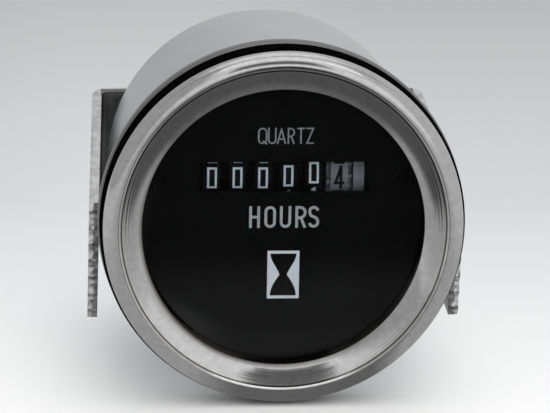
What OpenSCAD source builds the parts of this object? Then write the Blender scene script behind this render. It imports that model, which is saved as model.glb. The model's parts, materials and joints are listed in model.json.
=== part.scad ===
// Panel hour meter: a round drawn case with a rolled bezel, a clamp bracket on two studs,
// and a six-wheel counter that a small stepping motor turns through a gear train.
// Millimetres. The origin is on the axis at the panel seat, the dial faces -Y, and up is +Z.

/* [Case] */
// Outer diameter of the drawn case, which passes through the panel hole
case_d = 52; // [50:0.5:54]
// Sheet thickness of the case
case_wall = 0.8; // [0.6:0.1:1]
// Room between the circuit board and the rear wall
rear_room = 5.67; // [5.1:0.01:12]
// Outside radius between the side wall and the rear wall
case_corner = 2; // [1.4:0.1:2.6]
// How far the curled flange stands out beyond the case
flange_w = 3.5; // [3.1:0.1:5]
// Depth of the curled flange in front of the panel
flange_depth = 2.9; // [2.4:0.1:3.6]
// Radial width of the seat ring on the flange
seat_w = 2.5; // [1.6:0.1:2.6]

/* [Bezel and glass] */
// How far the bezel's outer roll stays inside the gasket
bezel_inset = 0.4; // [0.2:0.05:0.8]
// How far the crest, where the roll meets the inner cone, lies outside the case's radius
crest_step = 0.5; // [0.3:0.05:1]
// Height of the roll in front of its widest line
roll_h = 1.85; // [1.4:0.05:2.4]
// Depth of the rear rim behind the widest line
rim_h = 0.85; // [0.6:0.05:1.1]
// How far the inner cone runs back from the crest
cone_drop = 1.4; // [1:0.1:1.7]
// How far the bezel's inner wall laps over the edge of the glass
lens_hold = 1.6; // [1.3:0.1:2.4]
// Sheet thickness of the bezel
bezel_wall = 0.7; // [0.5:0.05:0.8]
// Thickness of the rubber gasket between bezel and flange
gasket_t = 3.1; // [2.6:0.1:3.6]
// How far the gasket's edge stays inside the flange
gasket_inset = 0.2; // [0.1:0.05:0.5]
// Thickness of the glass
glass_t = 1.8; // [1.4:0.1:2.2]
// Thickness of the seal ring between glass and dial
seal_t = 1.55; // [1.2:0.05:2]

/* [Dial] */
// Thickness of the dial plate
dial_t = 0.8; // [0.6:0.1:1]
// Width of the counter window
window_w = 27.4; // [26.6:0.2:28]
// Height of the counter window
window_h = 5; // [4.6:0.1:5.6]
// Height of the counter's axis above the centre of the dial
counter_z = 6.9; // [6.4:0.1:7.4]
// How far the window's centre lies above the counter's axis
window_rise = 0.3; // [0:0.05:0.5]
// Sideways offset of counter and window from the centre
counter_x = 0.45; // [0:0.05:0.6]
// How far the dial screws lie inside the bezel's sleeve
dial_screw_inset = 4.4; // [3.9:0.1:4.9]
// Head diameter of a dial screw
dial_screw_head = 2.9; // [2.4:0.1:3]

/* [Counter] */
// Diameter of the number band on a wheel
drum_d = 13.4; // [13:0.1:13.8]
// Spacing of the number wheels along their shaft
wheel_pitch = 4.1; // [4.05:0.01:4.2]
// Width of the number band
band_w = 2.8; // [2.6:0.05:2.85]
// Gap between the dial plate and the number bands
drum_gap = 0.45; // [0.3:0.05:0.8]
// Width of the drive hub beside the tenths wheel
drive_hub_w = 1.8; // [1.4:0.1:2]
// Diameter of the wheel shaft
wheel_shaft_d = 2; // [1.6:0.1:2.4]
// Diameter of the transfer pinion shaft
pinion_shaft_d = 1.6; // [1.2:0.1:1.8]
// Radial running clearance of wheels, pinions and arbors
running_gap = 0.05; // [0.03:0.01:0.08]
// Sheet thickness of the counter frame
frame_t = 1; // [0.8:0.1:1.2]

/* [Gears] */
// Module of the transfer gears between the wheels
transfer_module = 0.6; // [0.58:0.01:0.61]
// Module of the drive gear and of the first arbor
drive_module = 0.4; // [0.39:0.01:0.41]
// Module of the second arbor's wheel and of the rotor pinion
rotor_module = 0.3; // [0.29:0.01:0.31]
// Tooth thinning that gives each pair its play
tooth_play = 0.12; // [0.1:0.01:0.16]
// Diameter of the two gear arbors
arbor_d = 1.2; // [1:0.1:1.3]
// Diameter of the rotor's arbor
rotor_arbor_d = 1; // [0.8:0.1:1.1]
// Diameter of the rotor magnet
magnet_d = 4.8; // [4.2:0.1:5]

/* [Rear] */
// Distance between the two mounting studs
stud_gap = 22; // [21:0.5:24]
// Diameter of a mounting stud
stud_d = 4; // [3.8:0.1:4.2]
// How far a stud stands out behind the case
stud_out = 16.5; // [16:0.5:22]
// Width across the flats of the stud nuts
nut_af = 7; // [6.8:0.1:7.4]
// Width of a terminal blade
blade_w = 6.3; // [5.6:0.1:6.6]
// Thickness of a terminal blade
blade_t = 0.8; // [0.6:0.1:1]
// Length of a blade outside its block
blade_out = 8.2; // [7:0.1:10]
// Height of the terminals above the axis
blade_z = 16; // [15.6:0.1:16.4]
// Distance between the two blades
blade_gap = 13; // [11.5:0.5:14]

/* [Bracket] */
// Width of the bracket strap
strap_w = 21; // [18:0.5:22]
// Sheet thickness of the strap
strap_t = 1.6; // [1.2:0.1:2]
// Clear space between the case and each leg at its front end
leg_clear = 3; // [2.75:0.25:5]
// Pivot line to the front ends of the legs
leg_reach = 44.1; // [40:0.1:45]
// Outward splay of each leg in degrees
leg_splay = 3; // [2:0.1:3.4]
// Inside radius of the strap's bends
bend_r = 1.5; // [1:0.1:2.5]
// Diameter of the bracket's stud holes
bracket_hole_d = 4.6; // [4.6:0.1:5]
// Back of the case to the bracket's pivot line
pivot_back = 8.85; // [8:0.05:9.5]
// Pitch at which the loose bracket hangs, front down, in degrees
hang_pitch = 12; // [6:0.5:12]
// Teeth along the front end of each leg
leg_teeth = 7; // [5:1:9]
// Depth of the teeth on the leg ends
tooth_h = 0.6; // [0.3:0.1:0.9]

/* [Hidden] */
$fn = 64;

// Assembly clearances
seat_gap = 0.1;
thread_gap = 0.02;
face_gap = 0.2;
axial_play = 0.08;
gear_gap = 0.35;
// How far a cut runs past the face it goes through
past = 1;

// Radii of the case and what sits in its mouth
case_r = case_d / 2;
bore_r = case_r - case_wall;
flange_r = case_r + flange_w;
gasket_r = flange_r - gasket_inset;
wide_r = gasket_r - bezel_inset;
crest_r = case_r + crest_step;
sleeve_r = bore_r - seat_gap;
sleeve_in = sleeve_r - bezel_wall;
glass_r = sleeve_in - face_gap;
opening_r = glass_r - lens_hold;

// Places along the axis, from the panel seat forwards
flange_front = -flange_depth;
bezel_rear = flange_front - gasket_t;
wide_y = bezel_rear - rim_h;
crest_y = wide_y - roll_h;
cone_end_y = crest_y + cone_drop;
lens_seat = 0.8;
lens_front = bezel_rear + lens_seat;
lens_rear = lens_front + glass_t;
dial_front = lens_rear + seal_t;
dial_rear = dial_front + dial_t;
sleeve_lap = 1.55;
window_z = counter_z + window_rise;
dial_screw_r = 0.8;
dial_screw_x = sleeve_in - dial_screw_inset;
sleeve_rear = dial_rear + sleeve_lap;

// Number wheels: the leftmost is the ten thousands, and the tenths wheel is last
wheel_count = 6;
drum_r = drum_d / 2;
side_w = (wheel_pitch - seat_gap - band_w) / 2;
wheel_bore_r = wheel_shaft_d / 2 + running_gap;
wheel_y = dial_rear + drum_gap + drum_r;
wheel_at = [wheel_y, counter_z];
first_wheel_offset = 11.6;
hub_wall = 1.15;
hub_r = wheel_bore_r + hub_wall;
digit_step = 36;
shown_tenths = 4;
function wheel_x(i) = counter_x - first_wheel_offset + i * wheel_pitch;

// Gear proportions: long-leaved pinions and short-toothed wheels that share one centre distance
pressure_angle = 20;
pinion_shift = 0.5;
pinion_add = 1.2;
wheel_add = 0.5;
tip_clear = 0.25;
pinion_leaves = 8;
transfer_teeth = 20;
drive_teeth = 30;
first_teeth = 32;
second_teeth = 40;
function mesh_gap(teeth, module_mm) = (teeth + pinion_leaves) * module_mm / 2;
function step_from(at, reach, angle) = at + reach * [cos(angle), sin(angle)];

// Arbors, as [y, z], each placed from the one before it
first_angle = -62;
second_angle = -15;
rotor_angle = 30;
pinion_at = step_from(wheel_at, mesh_gap(transfer_teeth, transfer_module), 0);
first_at = step_from(wheel_at, mesh_gap(drive_teeth, drive_module), first_angle);
second_at = step_from(first_at, mesh_gap(first_teeth, drive_module), second_angle);
rotor_at = step_from(second_at, mesh_gap(second_teeth, rotor_module), rotor_angle);

// Places across the counter, from the last wheel to the right
last_wheel_right = wheel_x(wheel_count - 1) + band_w / 2 + side_w;
drive_hub_step = 0.3;
drive_hub_x = last_wheel_right + drive_hub_step;
drive_gear_x = drive_hub_x + drive_hub_w;
drive_gear_w = 1;
drive_hub_r = drum_r - drive_hub_step;
left_plate_x = wheel_x(0) - band_w / 2 - side_w - face_gap - frame_t;
right_plate_x = drive_gear_x + drive_gear_w + gear_gap;
right_face_x = right_plate_x + frame_t;
gear_w = 0.7;
stage_gap = 0.8;
bridge_gap = 1.3;
first_wheel_x = right_face_x + stage_gap / 2;
second_wheel_x = first_wheel_x + gear_w + stage_gap;
bridge_x = second_wheel_x + gear_w + bridge_gap;
bridge_face_x = bridge_x + frame_t;
stator_t = 1;
arbor_r = arbor_d / 2;
rotor_arbor_r = rotor_arbor_d / 2;
arbor_bore_r = arbor_r + running_gap;
rotor_bore_r = rotor_arbor_r + running_gap;

// Frame outline, in Y and Z
frame_top = counter_z + 5.2;
frame_low = -5;
right_low = -10;
magnet_r = magnet_d / 2;
air_gap = 0.4;
stator_ring_w = 1.5;
stator_ring_r = magnet_r + air_gap + stator_ring_w;
cross_gap = 0.7;
cross_y = rotor_at[0] + stator_ring_r + cross_gap;
cross_face_y = cross_y + frame_t;
tab_h = 6;
tab_reach = 2.2;

// Posts between the right-hand plate and the bridge, as [y, z]
post_r = 1.5;
post_inset = 2.4;
post_row = 15.1;
post_places = [
    [cross_y - post_row, frame_top - post_inset],
    [cross_y - post_inset, frame_top - post_inset],
    [first_at[0], right_low + post_inset - seat_gap * 4]
];
post_screw_r = 0.7;
post_screw_head_r = 1.4;
post_screw_len = 2.4;

// Circuit board, pillars and studs behind the frame
board_gap = 2.8;
board_t = 1.6;
board_y = cross_face_y + board_gap;
board_rear = board_y + board_t;
board_edge_gap = 2.6;
board_r = bore_r - board_edge_gap;
rear_inside = board_rear + rear_room;
case_len = rear_inside + case_wall;
stud_r = stud_d / 2;
stud_x = stud_gap / 2;
stud_hold = 3.6;
stud_end = case_len + stud_out;
pillar_wall = 1;
pillar_r = stud_r + pillar_wall;
pillar_neck_r = 2.2;
frame_screw_r = 1.2;
frame_screw_head_r = 2.1;
frame_screw_end = board_rear - 1;
nut_h = 2.4;
washer_t = 0.8;
washer_r = nut_af / 2 + pillar_wall;
clamp_nut_h = 3.2;

// Terminal block, trapped between the board and the rear wall
block_margin = 3;
block_w = blade_gap + blade_w + 2 * block_margin;
block_h = 7;
boss_margin = 1.2;
boss_w = blade_gap + blade_w + 2 * boss_margin;
boss_h = 5;
boss_out = 1.2;
blade_tab_w = 2.4;
blade_end = case_len + boss_out + blade_out;
blade_hole_d = 1.7;

// Bracket: the pivot line runs through both studs, half-way through the strap
pivot_y = case_len + pivot_back;
leg_gap = case_d + 2 * leg_clear;
bend_drop = strap_t / 2 + bend_r;
bend_steps = 12;
leg_len = (leg_reach - bend_drop - bend_r * sin(leg_splay)) / cos(leg_splay);
bend_x = leg_gap / 2 - bend_r * cos(leg_splay) - leg_len * sin(leg_splay);
clamp_play = 0.15;
clamp_washer_y = pivot_y + washer_r * tan(hang_pitch) + strap_t / (2 * cos(hang_pitch)) + clamp_play;
clamp_nut_y = clamp_washer_y + washer_t;

// Coil, below the counter frame's right-hand plate
coil_r = 3;
coil_drop = 1;
coil_z = right_low - coil_r - coil_drop;
core_h = 3;
core_len = 18.2;
core_y1 = cross_face_y + 0.6;
core_y0 = core_y1 - core_len;
arm_w = 2;
arm_gap = 0.4;
bobbin_wall = 0.8;
bobbin_r = 2.05;
bobbin_y0 = core_y0 + arm_w + arm_gap;
bobbin_y1 = core_y1 - arm_w - arm_gap;

// Points along an elliptic arc
function arc(at, radii, from, to, steps) = [
    for (i = [0 : steps])
        let (a = from + (to - from) * i / steps)
            [at[0] + radii[0] * cos(a), at[1] + radii[1] * sin(a)]
];

// A revolved shape about the meter's axis, from [radius, y] points
module turned(points) {
    rotate([-90, 0, 0])
        rotate_extrude()
            polygon(points);
}

// A round rod along Y at [x, z]
module y_rod(at, r, from, to) {
    translate([at[0], from, at[1]])
        rotate([-90, 0, 0])
            cylinder(r = r, h = to - from);
}

// A flat shape in Y and Z, thickened along X
module x_plate(from, to) {
    translate([from, 0, 0])
        rotate([90, 0, 90])
            linear_extrude(to - from)
                children();
}

// A round rod along X at [y, z]
module x_rod(at, r, from, to) {
    x_plate(from, to)
        translate(at)
            circle(r);
}

// A flat shape in X and Z, thickened along Y
module y_plate(from, to) {
    translate([0, to, 0])
        rotate([90, 0, 0])
            linear_extrude(to - from)
                children();
}

// A flat rectangle between two corners with round corners
module round_rect(low, high, r) {
    translate([low[0] + r, low[1]])
        square([high[0] - low[0] - 2 * r, high[1] - low[1]]);
    translate([low[0], low[1] + r])
        square([high[0] - low[0], high[1] - low[1] - 2 * r]);
    for (x = [low[0] + r, high[0] - r], y = [low[1] + r, high[1] - r])
        translate([x, y])
            circle(r, $fn = 32);
}

// Both sides of the meter
module both_sides(x) {
    for (side = [-1, 1])
        translate([side * x, 0, 0])
            children();
}

// Involute of an angle, in degrees
function involute(angle) = tan(angle) * 180 / PI - angle;

// Half the angle that one tooth covers at radius r
function half_tooth(r, teeth, module_mm, shift) =
    let (
        pitch_r = teeth * module_mm / 2,
        base_r = pitch_r * cos(pressure_angle),
        angle = r > base_r ? acos(base_r / r) : 0,
        thick = 2 * shift * tan(pressure_angle) / teeth - tooth_play / (2 * pitch_r)
    )
    90 / teeth + thick * 180 / PI + involute(pressure_angle) - involute(angle);

// Radii at which a tooth's flank has its points
function flank_radii(root, tip) = [root, root + (tip - root) * 0.4, root + (tip - root) * 0.75, tip];

// Outline of some of the teeth of a gear, first tooth at angle turn
function tooth_points(teeth, module_mm, shift, root, tip, turn, count) = [
    for (i = [0 : count - 1])
        let (middle = turn + i * 360 / teeth)
            for (side = [-1, 1])
                for (j = [0 : 3])
                    let (
                        r = flank_radii(root, tip)[side < 0 ? j : 3 - j],
                        a = middle + side * half_tooth(r, teeth, module_mm, shift)
                    )
                        [r * cos(a), r * sin(a)]
];

function pinion_root(module_mm) = (pinion_leaves / 2 - wheel_add - tip_clear) * module_mm;
function pinion_tip(module_mm) = (pinion_leaves / 2 + pinion_add) * module_mm;
function wheel_root(teeth, module_mm) = (teeth / 2 - pinion_add - tip_clear) * module_mm;
function wheel_tip(teeth, module_mm) = (teeth / 2 + wheel_add) * module_mm;

// A toothed wheel's outline, one tooth pointing along angle turn
module wheel_outline(teeth, module_mm, turn) {
    polygon(tooth_points(teeth, module_mm, -pinion_shift, wheel_root(teeth, module_mm),
                         wheel_tip(teeth, module_mm), turn, teeth));
}

// A pinion's outline, one tooth space pointing along angle turn
module pinion_outline(module_mm, turn) {
    polygon(tooth_points(pinion_leaves, module_mm, pinion_shift, pinion_root(module_mm),
                         pinion_tip(module_mm), turn + 180 / pinion_leaves, pinion_leaves));
}

// Drawn steel case with its curled flange
module case_can() {
    hem_r = 0.7;
    inner_corner = case_corner - case_wall;
    color("gainsboro")
        difference() {
            turned(concat(
                [[0, rear_inside]],
                arc([bore_r - inner_corner, rear_inside - inner_corner],
                    [inner_corner, inner_corner], 90, 0, 8),
                [[bore_r, flange_front]],
                arc([flange_r - hem_r, flange_front + hem_r], [hem_r, hem_r], -90, 0, 5),
                arc([flange_r - hem_r, -hem_r], [hem_r, hem_r], 0, 90, 5),
                [
                    [flange_r - seat_w, 0],
                    [flange_r - seat_w, -case_wall],
                    [flange_r - case_wall, -case_wall],
                    [flange_r - case_wall, flange_front + case_wall],
                    [case_r, flange_front + case_wall]
                ],
                arc([case_r - case_corner, case_len - case_corner], [case_corner, case_corner], 0, 90, 8),
                [[0, case_len]]
            ));
            both_sides(stud_x)
                y_rod([0, 0], stud_r + face_gap, rear_inside - past, case_len + past);
            y_plate(rear_inside - past, case_len + past)
                round_rect([-boss_w / 2 - seat_gap, blade_z - boss_h / 2 - seat_gap],
                           [boss_w / 2 + seat_gap, blade_z + boss_h / 2 + seat_gap], 1);
        }
}

// Rubber ring between the bezel's rim and the flange
module bezel_gasket() {
    edge = 0.35;
    inner_r = sleeve_r + face_gap;
    color("black")
        turned(concat(
            [[inner_r, bezel_rear]],
            arc([gasket_r - edge, bezel_rear + edge], [edge, edge], -90, 0, 4),
            arc([gasket_r - edge, flange_front - edge], [edge, edge], 0, 90, 4),
            [[inner_r, flange_front]]
        ));
}

// Spun bezel: outer roll, crease, inner cone, inner wall and the sleeve that enters the case
module bezel() {
    crease = 0.22;
    lip_r = 0.4;
    lip_turn = -110;
    rim_turn = 40;
    cone_back_y = cone_end_y + bezel_wall;
    color("silver")
        turned(concat(
            arc([crest_r, wide_y], [wide_r - crest_r, rim_h * 1.5], rim_turn, 0, 3),
            arc([crest_r, wide_y], [wide_r - crest_r, roll_h], 0, -90, 12),
            [
                [crest_r - crease * 0.5, crest_y + crease],
                [crest_r - crease * 1.4, crest_y + crease * 0.6]
            ],
            arc([opening_r + lip_r, cone_end_y + lip_r], [lip_r, lip_r], lip_turn, -180, 4),
            [
                [opening_r, lens_front],
                [opening_r + bezel_wall, lens_front],
                [opening_r + bezel_wall, cone_back_y],
                [sleeve_in, cone_back_y],
                [sleeve_in, sleeve_rear],
                [sleeve_r, sleeve_rear],
                [sleeve_r, crest_y + bezel_wall * 1.6]
            ],
            arc([crest_r, wide_y], [wide_r - crest_r - bezel_wall, roll_h - bezel_wall], -90, 0, 8),
            [[wide_r - bezel_wall, bezel_rear]],
            [[crest_r + (wide_r - crest_r) * 0.82, bezel_rear]]
        ));
}

// Flat glass with ground edges
module glass_lens() {
    edge = 0.2;
    color([0.85, 0.9, 0.92, 0.35])
        turned([
            [0, lens_front], [glass_r - edge, lens_front], [glass_r, lens_front + edge],
            [glass_r, lens_rear - edge], [glass_r - edge, lens_rear], [0, lens_rear]
        ]);
}

// Rubber ring that keeps the glass off the dial
module lens_seal() {
    color("black")
        turned([
            [opening_r + face_gap, lens_rear], [glass_r, lens_rear],
            [glass_r, dial_front], [opening_r + face_gap, dial_front]
        ]);
}

// Dial plate with the counter window
module dial_plate() {
    color([0.06, 0.06, 0.07])
        difference() {
            turned([[0, dial_front], [glass_r, dial_front], [glass_r, dial_rear], [0, dial_rear]]);
            y_plate(dial_front - past, dial_rear + past)
                round_rect([counter_x - window_w / 2, window_z - window_h / 2],
                           [counter_x + window_w / 2, window_z + window_h / 2], 0.4);
            both_sides(dial_screw_x)
                y_rod([0, counter_z], dial_screw_r + face_gap, dial_front - past, dial_rear + past);
        }
}

// Two slotted screws that hold the dial on the frame's tabs
module dial_screws() {
    head_r = dial_screw_head / 2;
    head_h = 0.9;
    dome_turn = -60;
    slot_w = 0.5;
    shank_end = dial_rear + frame_t + 0.6;
    color([0.09, 0.09, 0.1])
        both_sides(dial_screw_x)
            translate([0, 0, counter_z])
                difference() {
                    turned(concat(
                        [[0, dial_front - head_h]],
                        arc([0, dial_front - head_h * 0.35], [head_r, head_h * 0.65], dome_turn, 0, 4),
                        [
                            [head_r, dial_front], [dial_screw_r, dial_front],
                            [dial_screw_r, shank_end], [0, shank_end]
                        ]
                    ));
                    translate([-slot_w / 2, dial_front - head_h * 1.5, -head_r])
                        cube([slot_w, head_h, 2 * head_r]);
                }
}

// Folded frame: two side plates, a cross plate behind, and a tab on each side for the dial
module counter_frame() {
    tab_hole_r = dial_screw_r + thread_gap;
    color([0.72, 0.72, 0.7])
        difference() {
            union() {
                x_plate(left_plate_x, left_plate_x + frame_t)
                    round_rect([dial_rear, frame_low], [cross_face_y, frame_top], 1);
                x_plate(right_plate_x, right_face_x)
                    round_rect([dial_rear, right_low], [cross_face_y, frame_top], 1);
                y_plate(cross_y, cross_face_y)
                    round_rect([left_plate_x, frame_low], [right_face_x, frame_top], 0.4);
                y_plate(dial_rear, dial_rear + frame_t) {
                    round_rect([-dial_screw_x - tab_reach, counter_z - tab_h / 2],
                               [left_plate_x + frame_t, counter_z + tab_h / 2], 0.6);
                    round_rect([right_plate_x, counter_z - tab_h / 2],
                               [dial_screw_x + tab_reach, counter_z + tab_h / 2], 0.6);
                }
            }
            both_sides(dial_screw_x)
                y_rod([0, counter_z], tab_hole_r, dial_rear - past, dial_rear + frame_t + past);
            both_sides(stud_x)
                y_rod([0, 0], frame_screw_r + seat_gap, cross_y - past, cross_face_y + past);
            x_rod(wheel_at, wheel_shaft_d / 2 + thread_gap, left_plate_x - past, right_face_x + past);
            x_rod(pinion_at, pinion_shaft_d / 2 + thread_gap, left_plate_x - past, right_face_x + past);
            x_rod(first_at, arbor_bore_r, right_plate_x - past, right_face_x + past);
            x_rod(second_at, arbor_bore_r, right_plate_x - past, right_face_x + past);
            x_rod(rotor_at, rotor_bore_r, right_plate_x - past, right_face_x + past);
        }
}

// Fixed shaft of the number wheels
module wheel_shaft() {
    color("lightgray")
        x_rod(wheel_at, wheel_shaft_d / 2, left_plate_x - seat_gap, right_face_x + seat_gap);
}

// Fixed shaft of the transfer pinions
module pinion_shaft() {
    color("lightgray")
        x_rod(pinion_at, pinion_shaft_d / 2, left_plate_x - seat_gap, right_face_x + seat_gap);
}

// One number wheel: band, ring gear on the right, and the two carry teeth on the left
module number_wheel(place, reading, tint) {
    x = wheel_x(place);
    turn = -reading * digit_step;
    band_left = x - band_w / 2;
    band_right = x + band_w / 2;
    rim_wall = 0.9;
    carry_root = wheel_root(transfer_teeth, transfer_module);
    rim_in = carry_root - rim_wall;
    recess = side_w + band_w * 0.4;
    carry_angle = -1.5 * 360 / transfer_teeth;
    color(tint)
        difference() {
            union() {
                x_rod(wheel_at, drum_r, band_left, band_right);
                x_plate(band_right, band_right + side_w)
                    translate(wheel_at)
                        wheel_outline(transfer_teeth, transfer_module, 0);
                x_rod(wheel_at, carry_root, band_left - side_w, band_left);
                x_plate(band_left - side_w, band_left)
                    translate(wheel_at)
                        polygon(concat(
                            [[0, 0]],
                            tooth_points(transfer_teeth, transfer_module, -pinion_shift, carry_root - face_gap,
                                         wheel_tip(transfer_teeth, transfer_module), turn + carry_angle, 2)
                        ));
            }
            x_plate(band_right + side_w - recess, band_right + side_w + past)
                translate(wheel_at)
                    difference() {
                        circle(rim_in);
                        circle(hub_r);
                    }
            x_rod(wheel_at, wheel_bore_r, band_left - side_w - past, band_right + side_w + past);
        }
}

module wheel_ten_thousands() {
    number_wheel(0, 0, [0.07, 0.07, 0.08]);
}

module wheel_thousands() {
    number_wheel(1, 0, [0.07, 0.07, 0.08]);
}

module wheel_hundreds() {
    number_wheel(2, 0, [0.07, 0.07, 0.08]);
}

module wheel_tens() {
    number_wheel(3, 0, [0.07, 0.07, 0.08]);
}

module wheel_units() {
    number_wheel(4, 0, [0.07, 0.07, 0.08]);
}

module wheel_tenths() {
    number_wheel(5, shown_tenths, [0.93, 0.93, 0.92]);
}

// Pinion that carries from the wheel on its right to the wheel at this place
module transfer_pinion(place) {
    gear_x = wheel_x(place) + band_w / 2 + axial_play;
    collar_x = wheel_x(place) + band_w / 2 + side_w;
    end_x = wheel_x(place + 1) - band_w / 2 - axial_play;
    carry_reach = pinion_at[0] - wheel_at[0] - wheel_tip(transfer_teeth, transfer_module);
    collar_r = carry_reach - gear_gap;
    color([0.86, 0.84, 0.78])
        difference() {
            union() {
                x_plate(gear_x, collar_x)
                    translate(pinion_at)
                        pinion_outline(transfer_module, 180);
                x_rod(pinion_at, collar_r, gear_x, end_x);
            }
            x_rod(pinion_at, pinion_shaft_d / 2 + running_gap, gear_x - past, end_x + past);
        }
}

module pinion_ten_thousands() {
    transfer_pinion(0);
}

module pinion_thousands() {
    transfer_pinion(1);
}

module pinion_hundreds() {
    transfer_pinion(2);
}

module pinion_tens() {
    transfer_pinion(3);
}

module pinion_units() {
    transfer_pinion(4);
}

// White hub and gear that turn the tenths wheel once an hour
module drive_gear() {
    color([0.93, 0.93, 0.92])
        difference() {
            union() {
                x_rod(wheel_at, hub_r, last_wheel_right, drive_hub_x);
                x_rod(wheel_at, drive_hub_r, drive_hub_x, drive_gear_x);
                x_plate(drive_gear_x, drive_gear_x + drive_gear_w)
                    translate(wheel_at)
                        wheel_outline(drive_teeth, drive_module, first_angle);
            }
            x_rod(wheel_at, wheel_bore_r, last_wheel_right - past, drive_gear_x + drive_gear_w + past);
        }
}

// Arbor with the pinion of the drive gear and the wheel of the second stage
module first_arbor() {
    pinion_x = drive_gear_x + seat_gap;
    color("goldenrod") {
        x_plate(pinion_x, right_plate_x - seat_gap)
            translate(first_at)
                pinion_outline(drive_module, first_angle + 180);
        x_plate(first_wheel_x, first_wheel_x + gear_w)
            translate(first_at)
                wheel_outline(first_teeth, drive_module, second_angle);
        x_rod(first_at, arbor_r, pinion_x, bridge_face_x);
    }
}

// Arbor with the pinion of the second stage and the wheel that the rotor turns
module second_arbor() {
    color("goldenrod") {
        x_plate(first_wheel_x - seat_gap, first_wheel_x + gear_w + seat_gap)
            translate(second_at)
                pinion_outline(drive_module, second_angle + 180);
        x_plate(second_wheel_x, second_wheel_x + gear_w)
            translate(second_at)
                wheel_outline(second_teeth, rotor_module, rotor_angle);
        x_rod(second_at, arbor_r, right_plate_x, bridge_face_x);
    }
}

// Disc magnet and pinion on the rotor's arbor
module motor_rotor() {
    magnet_x = right_face_x + face_gap;
    magnet_w = 1.2;
    color([0.3, 0.3, 0.33]) {
        x_rod(rotor_at, magnet_r, magnet_x, magnet_x + magnet_w);
        x_plate(second_wheel_x - seat_gap, second_wheel_x + gear_w + seat_gap)
            translate(rotor_at)
                pinion_outline(rotor_module, rotor_angle + 180);
        x_rod(rotor_at, rotor_arbor_r, right_plate_x, bridge_face_x);
    }
}

// Outer plate that carries the right-hand ends of the arbors
module gear_bridge() {
    bridge_lap = 4;
    color([0.8, 0.7, 0.42])
        x_plate(bridge_x, bridge_face_x)
            difference() {
                round_rect([first_at[0] - bridge_lap, right_low], [cross_face_y, frame_top], 2);
                translate(first_at)
                    circle(arbor_bore_r);
                translate(second_at)
                    circle(arbor_bore_r);
                translate(rotor_at)
                    circle(rotor_bore_r);
                for (at = post_places)
                    translate(at)
                        circle(post_screw_r + seat_gap);
            }
}

// Three posts that space the bridge
module bridge_posts() {
    color("goldenrod")
        for (at = post_places)
            difference() {
                x_rod(at, post_r, right_face_x, bridge_x);
                x_rod(at, post_screw_r + thread_gap, bridge_x - post_screw_len - face_gap, bridge_x + past);
            }
}

// Three screws that hold the bridge on its posts
module bridge_screws() {
    head_h = 0.8;
    slot_w = 0.4;
    color("lightgray")
        for (at = post_places)
            difference() {
                union() {
                    x_rod(at, post_screw_r, bridge_x - post_screw_len, bridge_face_x);
                    x_rod(at, post_screw_head_r, bridge_face_x, bridge_face_x + head_h);
                }
                translate([bridge_face_x + head_h / 2, at[0] - slot_w / 2, at[1] - post_r])
                    cube([head_h, slot_w, 2 * post_r]);
            }
}

// Motor iron: a ring round the rotor and two arms down to the coil's core
module motor_stator() {
    inset = 0.7;
    arm_bend = rotor_at[1] - stator_ring_r - 0.5;
    arm_knee = coil_z + coil_r + 0.8;
    left = rotor_at[0] - stator_ring_r + inset;
    right = rotor_at[0] + stator_ring_r - inset;
    color([0.5, 0.5, 0.52])
        x_plate(right_face_x, right_face_x + stator_t)
            difference() {
                union() {
                    translate(rotor_at)
                        circle(stator_ring_r);
                    polygon([
                        [left, rotor_at[1]], [left, arm_bend], [core_y0, arm_knee], [core_y0, coil_z],
                        [core_y0 + arm_w, coil_z], [core_y0 + arm_w, arm_knee],
                        [left + arm_w, arm_bend], [left + arm_w, rotor_at[1]]
                    ]);
                    polygon([
                        [right - arm_w, rotor_at[1]], [right - arm_w, arm_bend],
                        [core_y1 - arm_w, arm_knee], [core_y1 - arm_w, coil_z], [core_y1, coil_z],
                        [core_y1, arm_knee], [right, arm_bend], [right, rotor_at[1]]
                    ]);
                    translate([core_y0, coil_z - core_h / 2])
                        square([core_y1 - core_y0, core_h]);
                }
                translate(rotor_at)
                    circle(magnet_r + air_gap);
            }
}

// Moulded bobbin on the core
module coil_bobbin() {
    cheek_step = 0.3;
    core_x = right_face_x + stator_t / 2;
    color([0.15, 0.15, 0.16])
        difference() {
            union() {
                y_rod([core_x, coil_z], bobbin_r, bobbin_y0, bobbin_y1);
                y_rod([core_x, coil_z], coil_r + cheek_step, bobbin_y0, bobbin_y0 + bobbin_wall);
                y_rod([core_x, coil_z], coil_r + cheek_step, bobbin_y1 - bobbin_wall, bobbin_y1);
            }
            y_plate(bobbin_y0 - past, bobbin_y1 + past)
                translate([core_x, coil_z])
                    square([stator_t + thread_gap, core_h + thread_gap], center = true);
        }
}

// Copper winding between the bobbin's cheeks
module coil_winding() {
    core_x = right_face_x + stator_t / 2;
    color([0.72, 0.38, 0.2])
        difference() {
            y_rod([core_x, coil_z], coil_r, bobbin_y0 + bobbin_wall, bobbin_y1 - bobbin_wall);
            y_rod([core_x, coil_z], bobbin_r, bobbin_y0, bobbin_y1);
        }
}

// Round circuit board on the pillars
module circuit_board() {
    coil_notch = [right_plate_x - 1, right_low + 4];
    color([0.1, 0.35, 0.2])
        difference() {
            y_rod([0, 0], board_r, board_y, board_rear);
            both_sides(stud_x)
                y_rod([0, 0], pillar_neck_r + thread_gap, board_y - past, board_rear + past);
            both_sides(blade_gap / 2)
                translate([-blade_tab_w / 2 - seat_gap, board_y - past, blade_z - blade_t / 2 - seat_gap])
                    cube([blade_tab_w + 2 * seat_gap, board_t + 2 * past, blade_t + 2 * seat_gap]);
            translate([coil_notch[0], board_y - past, -board_r])
                cube([board_r, board_t + 2 * past, board_r + coil_notch[1]]);
        }
}

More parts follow.
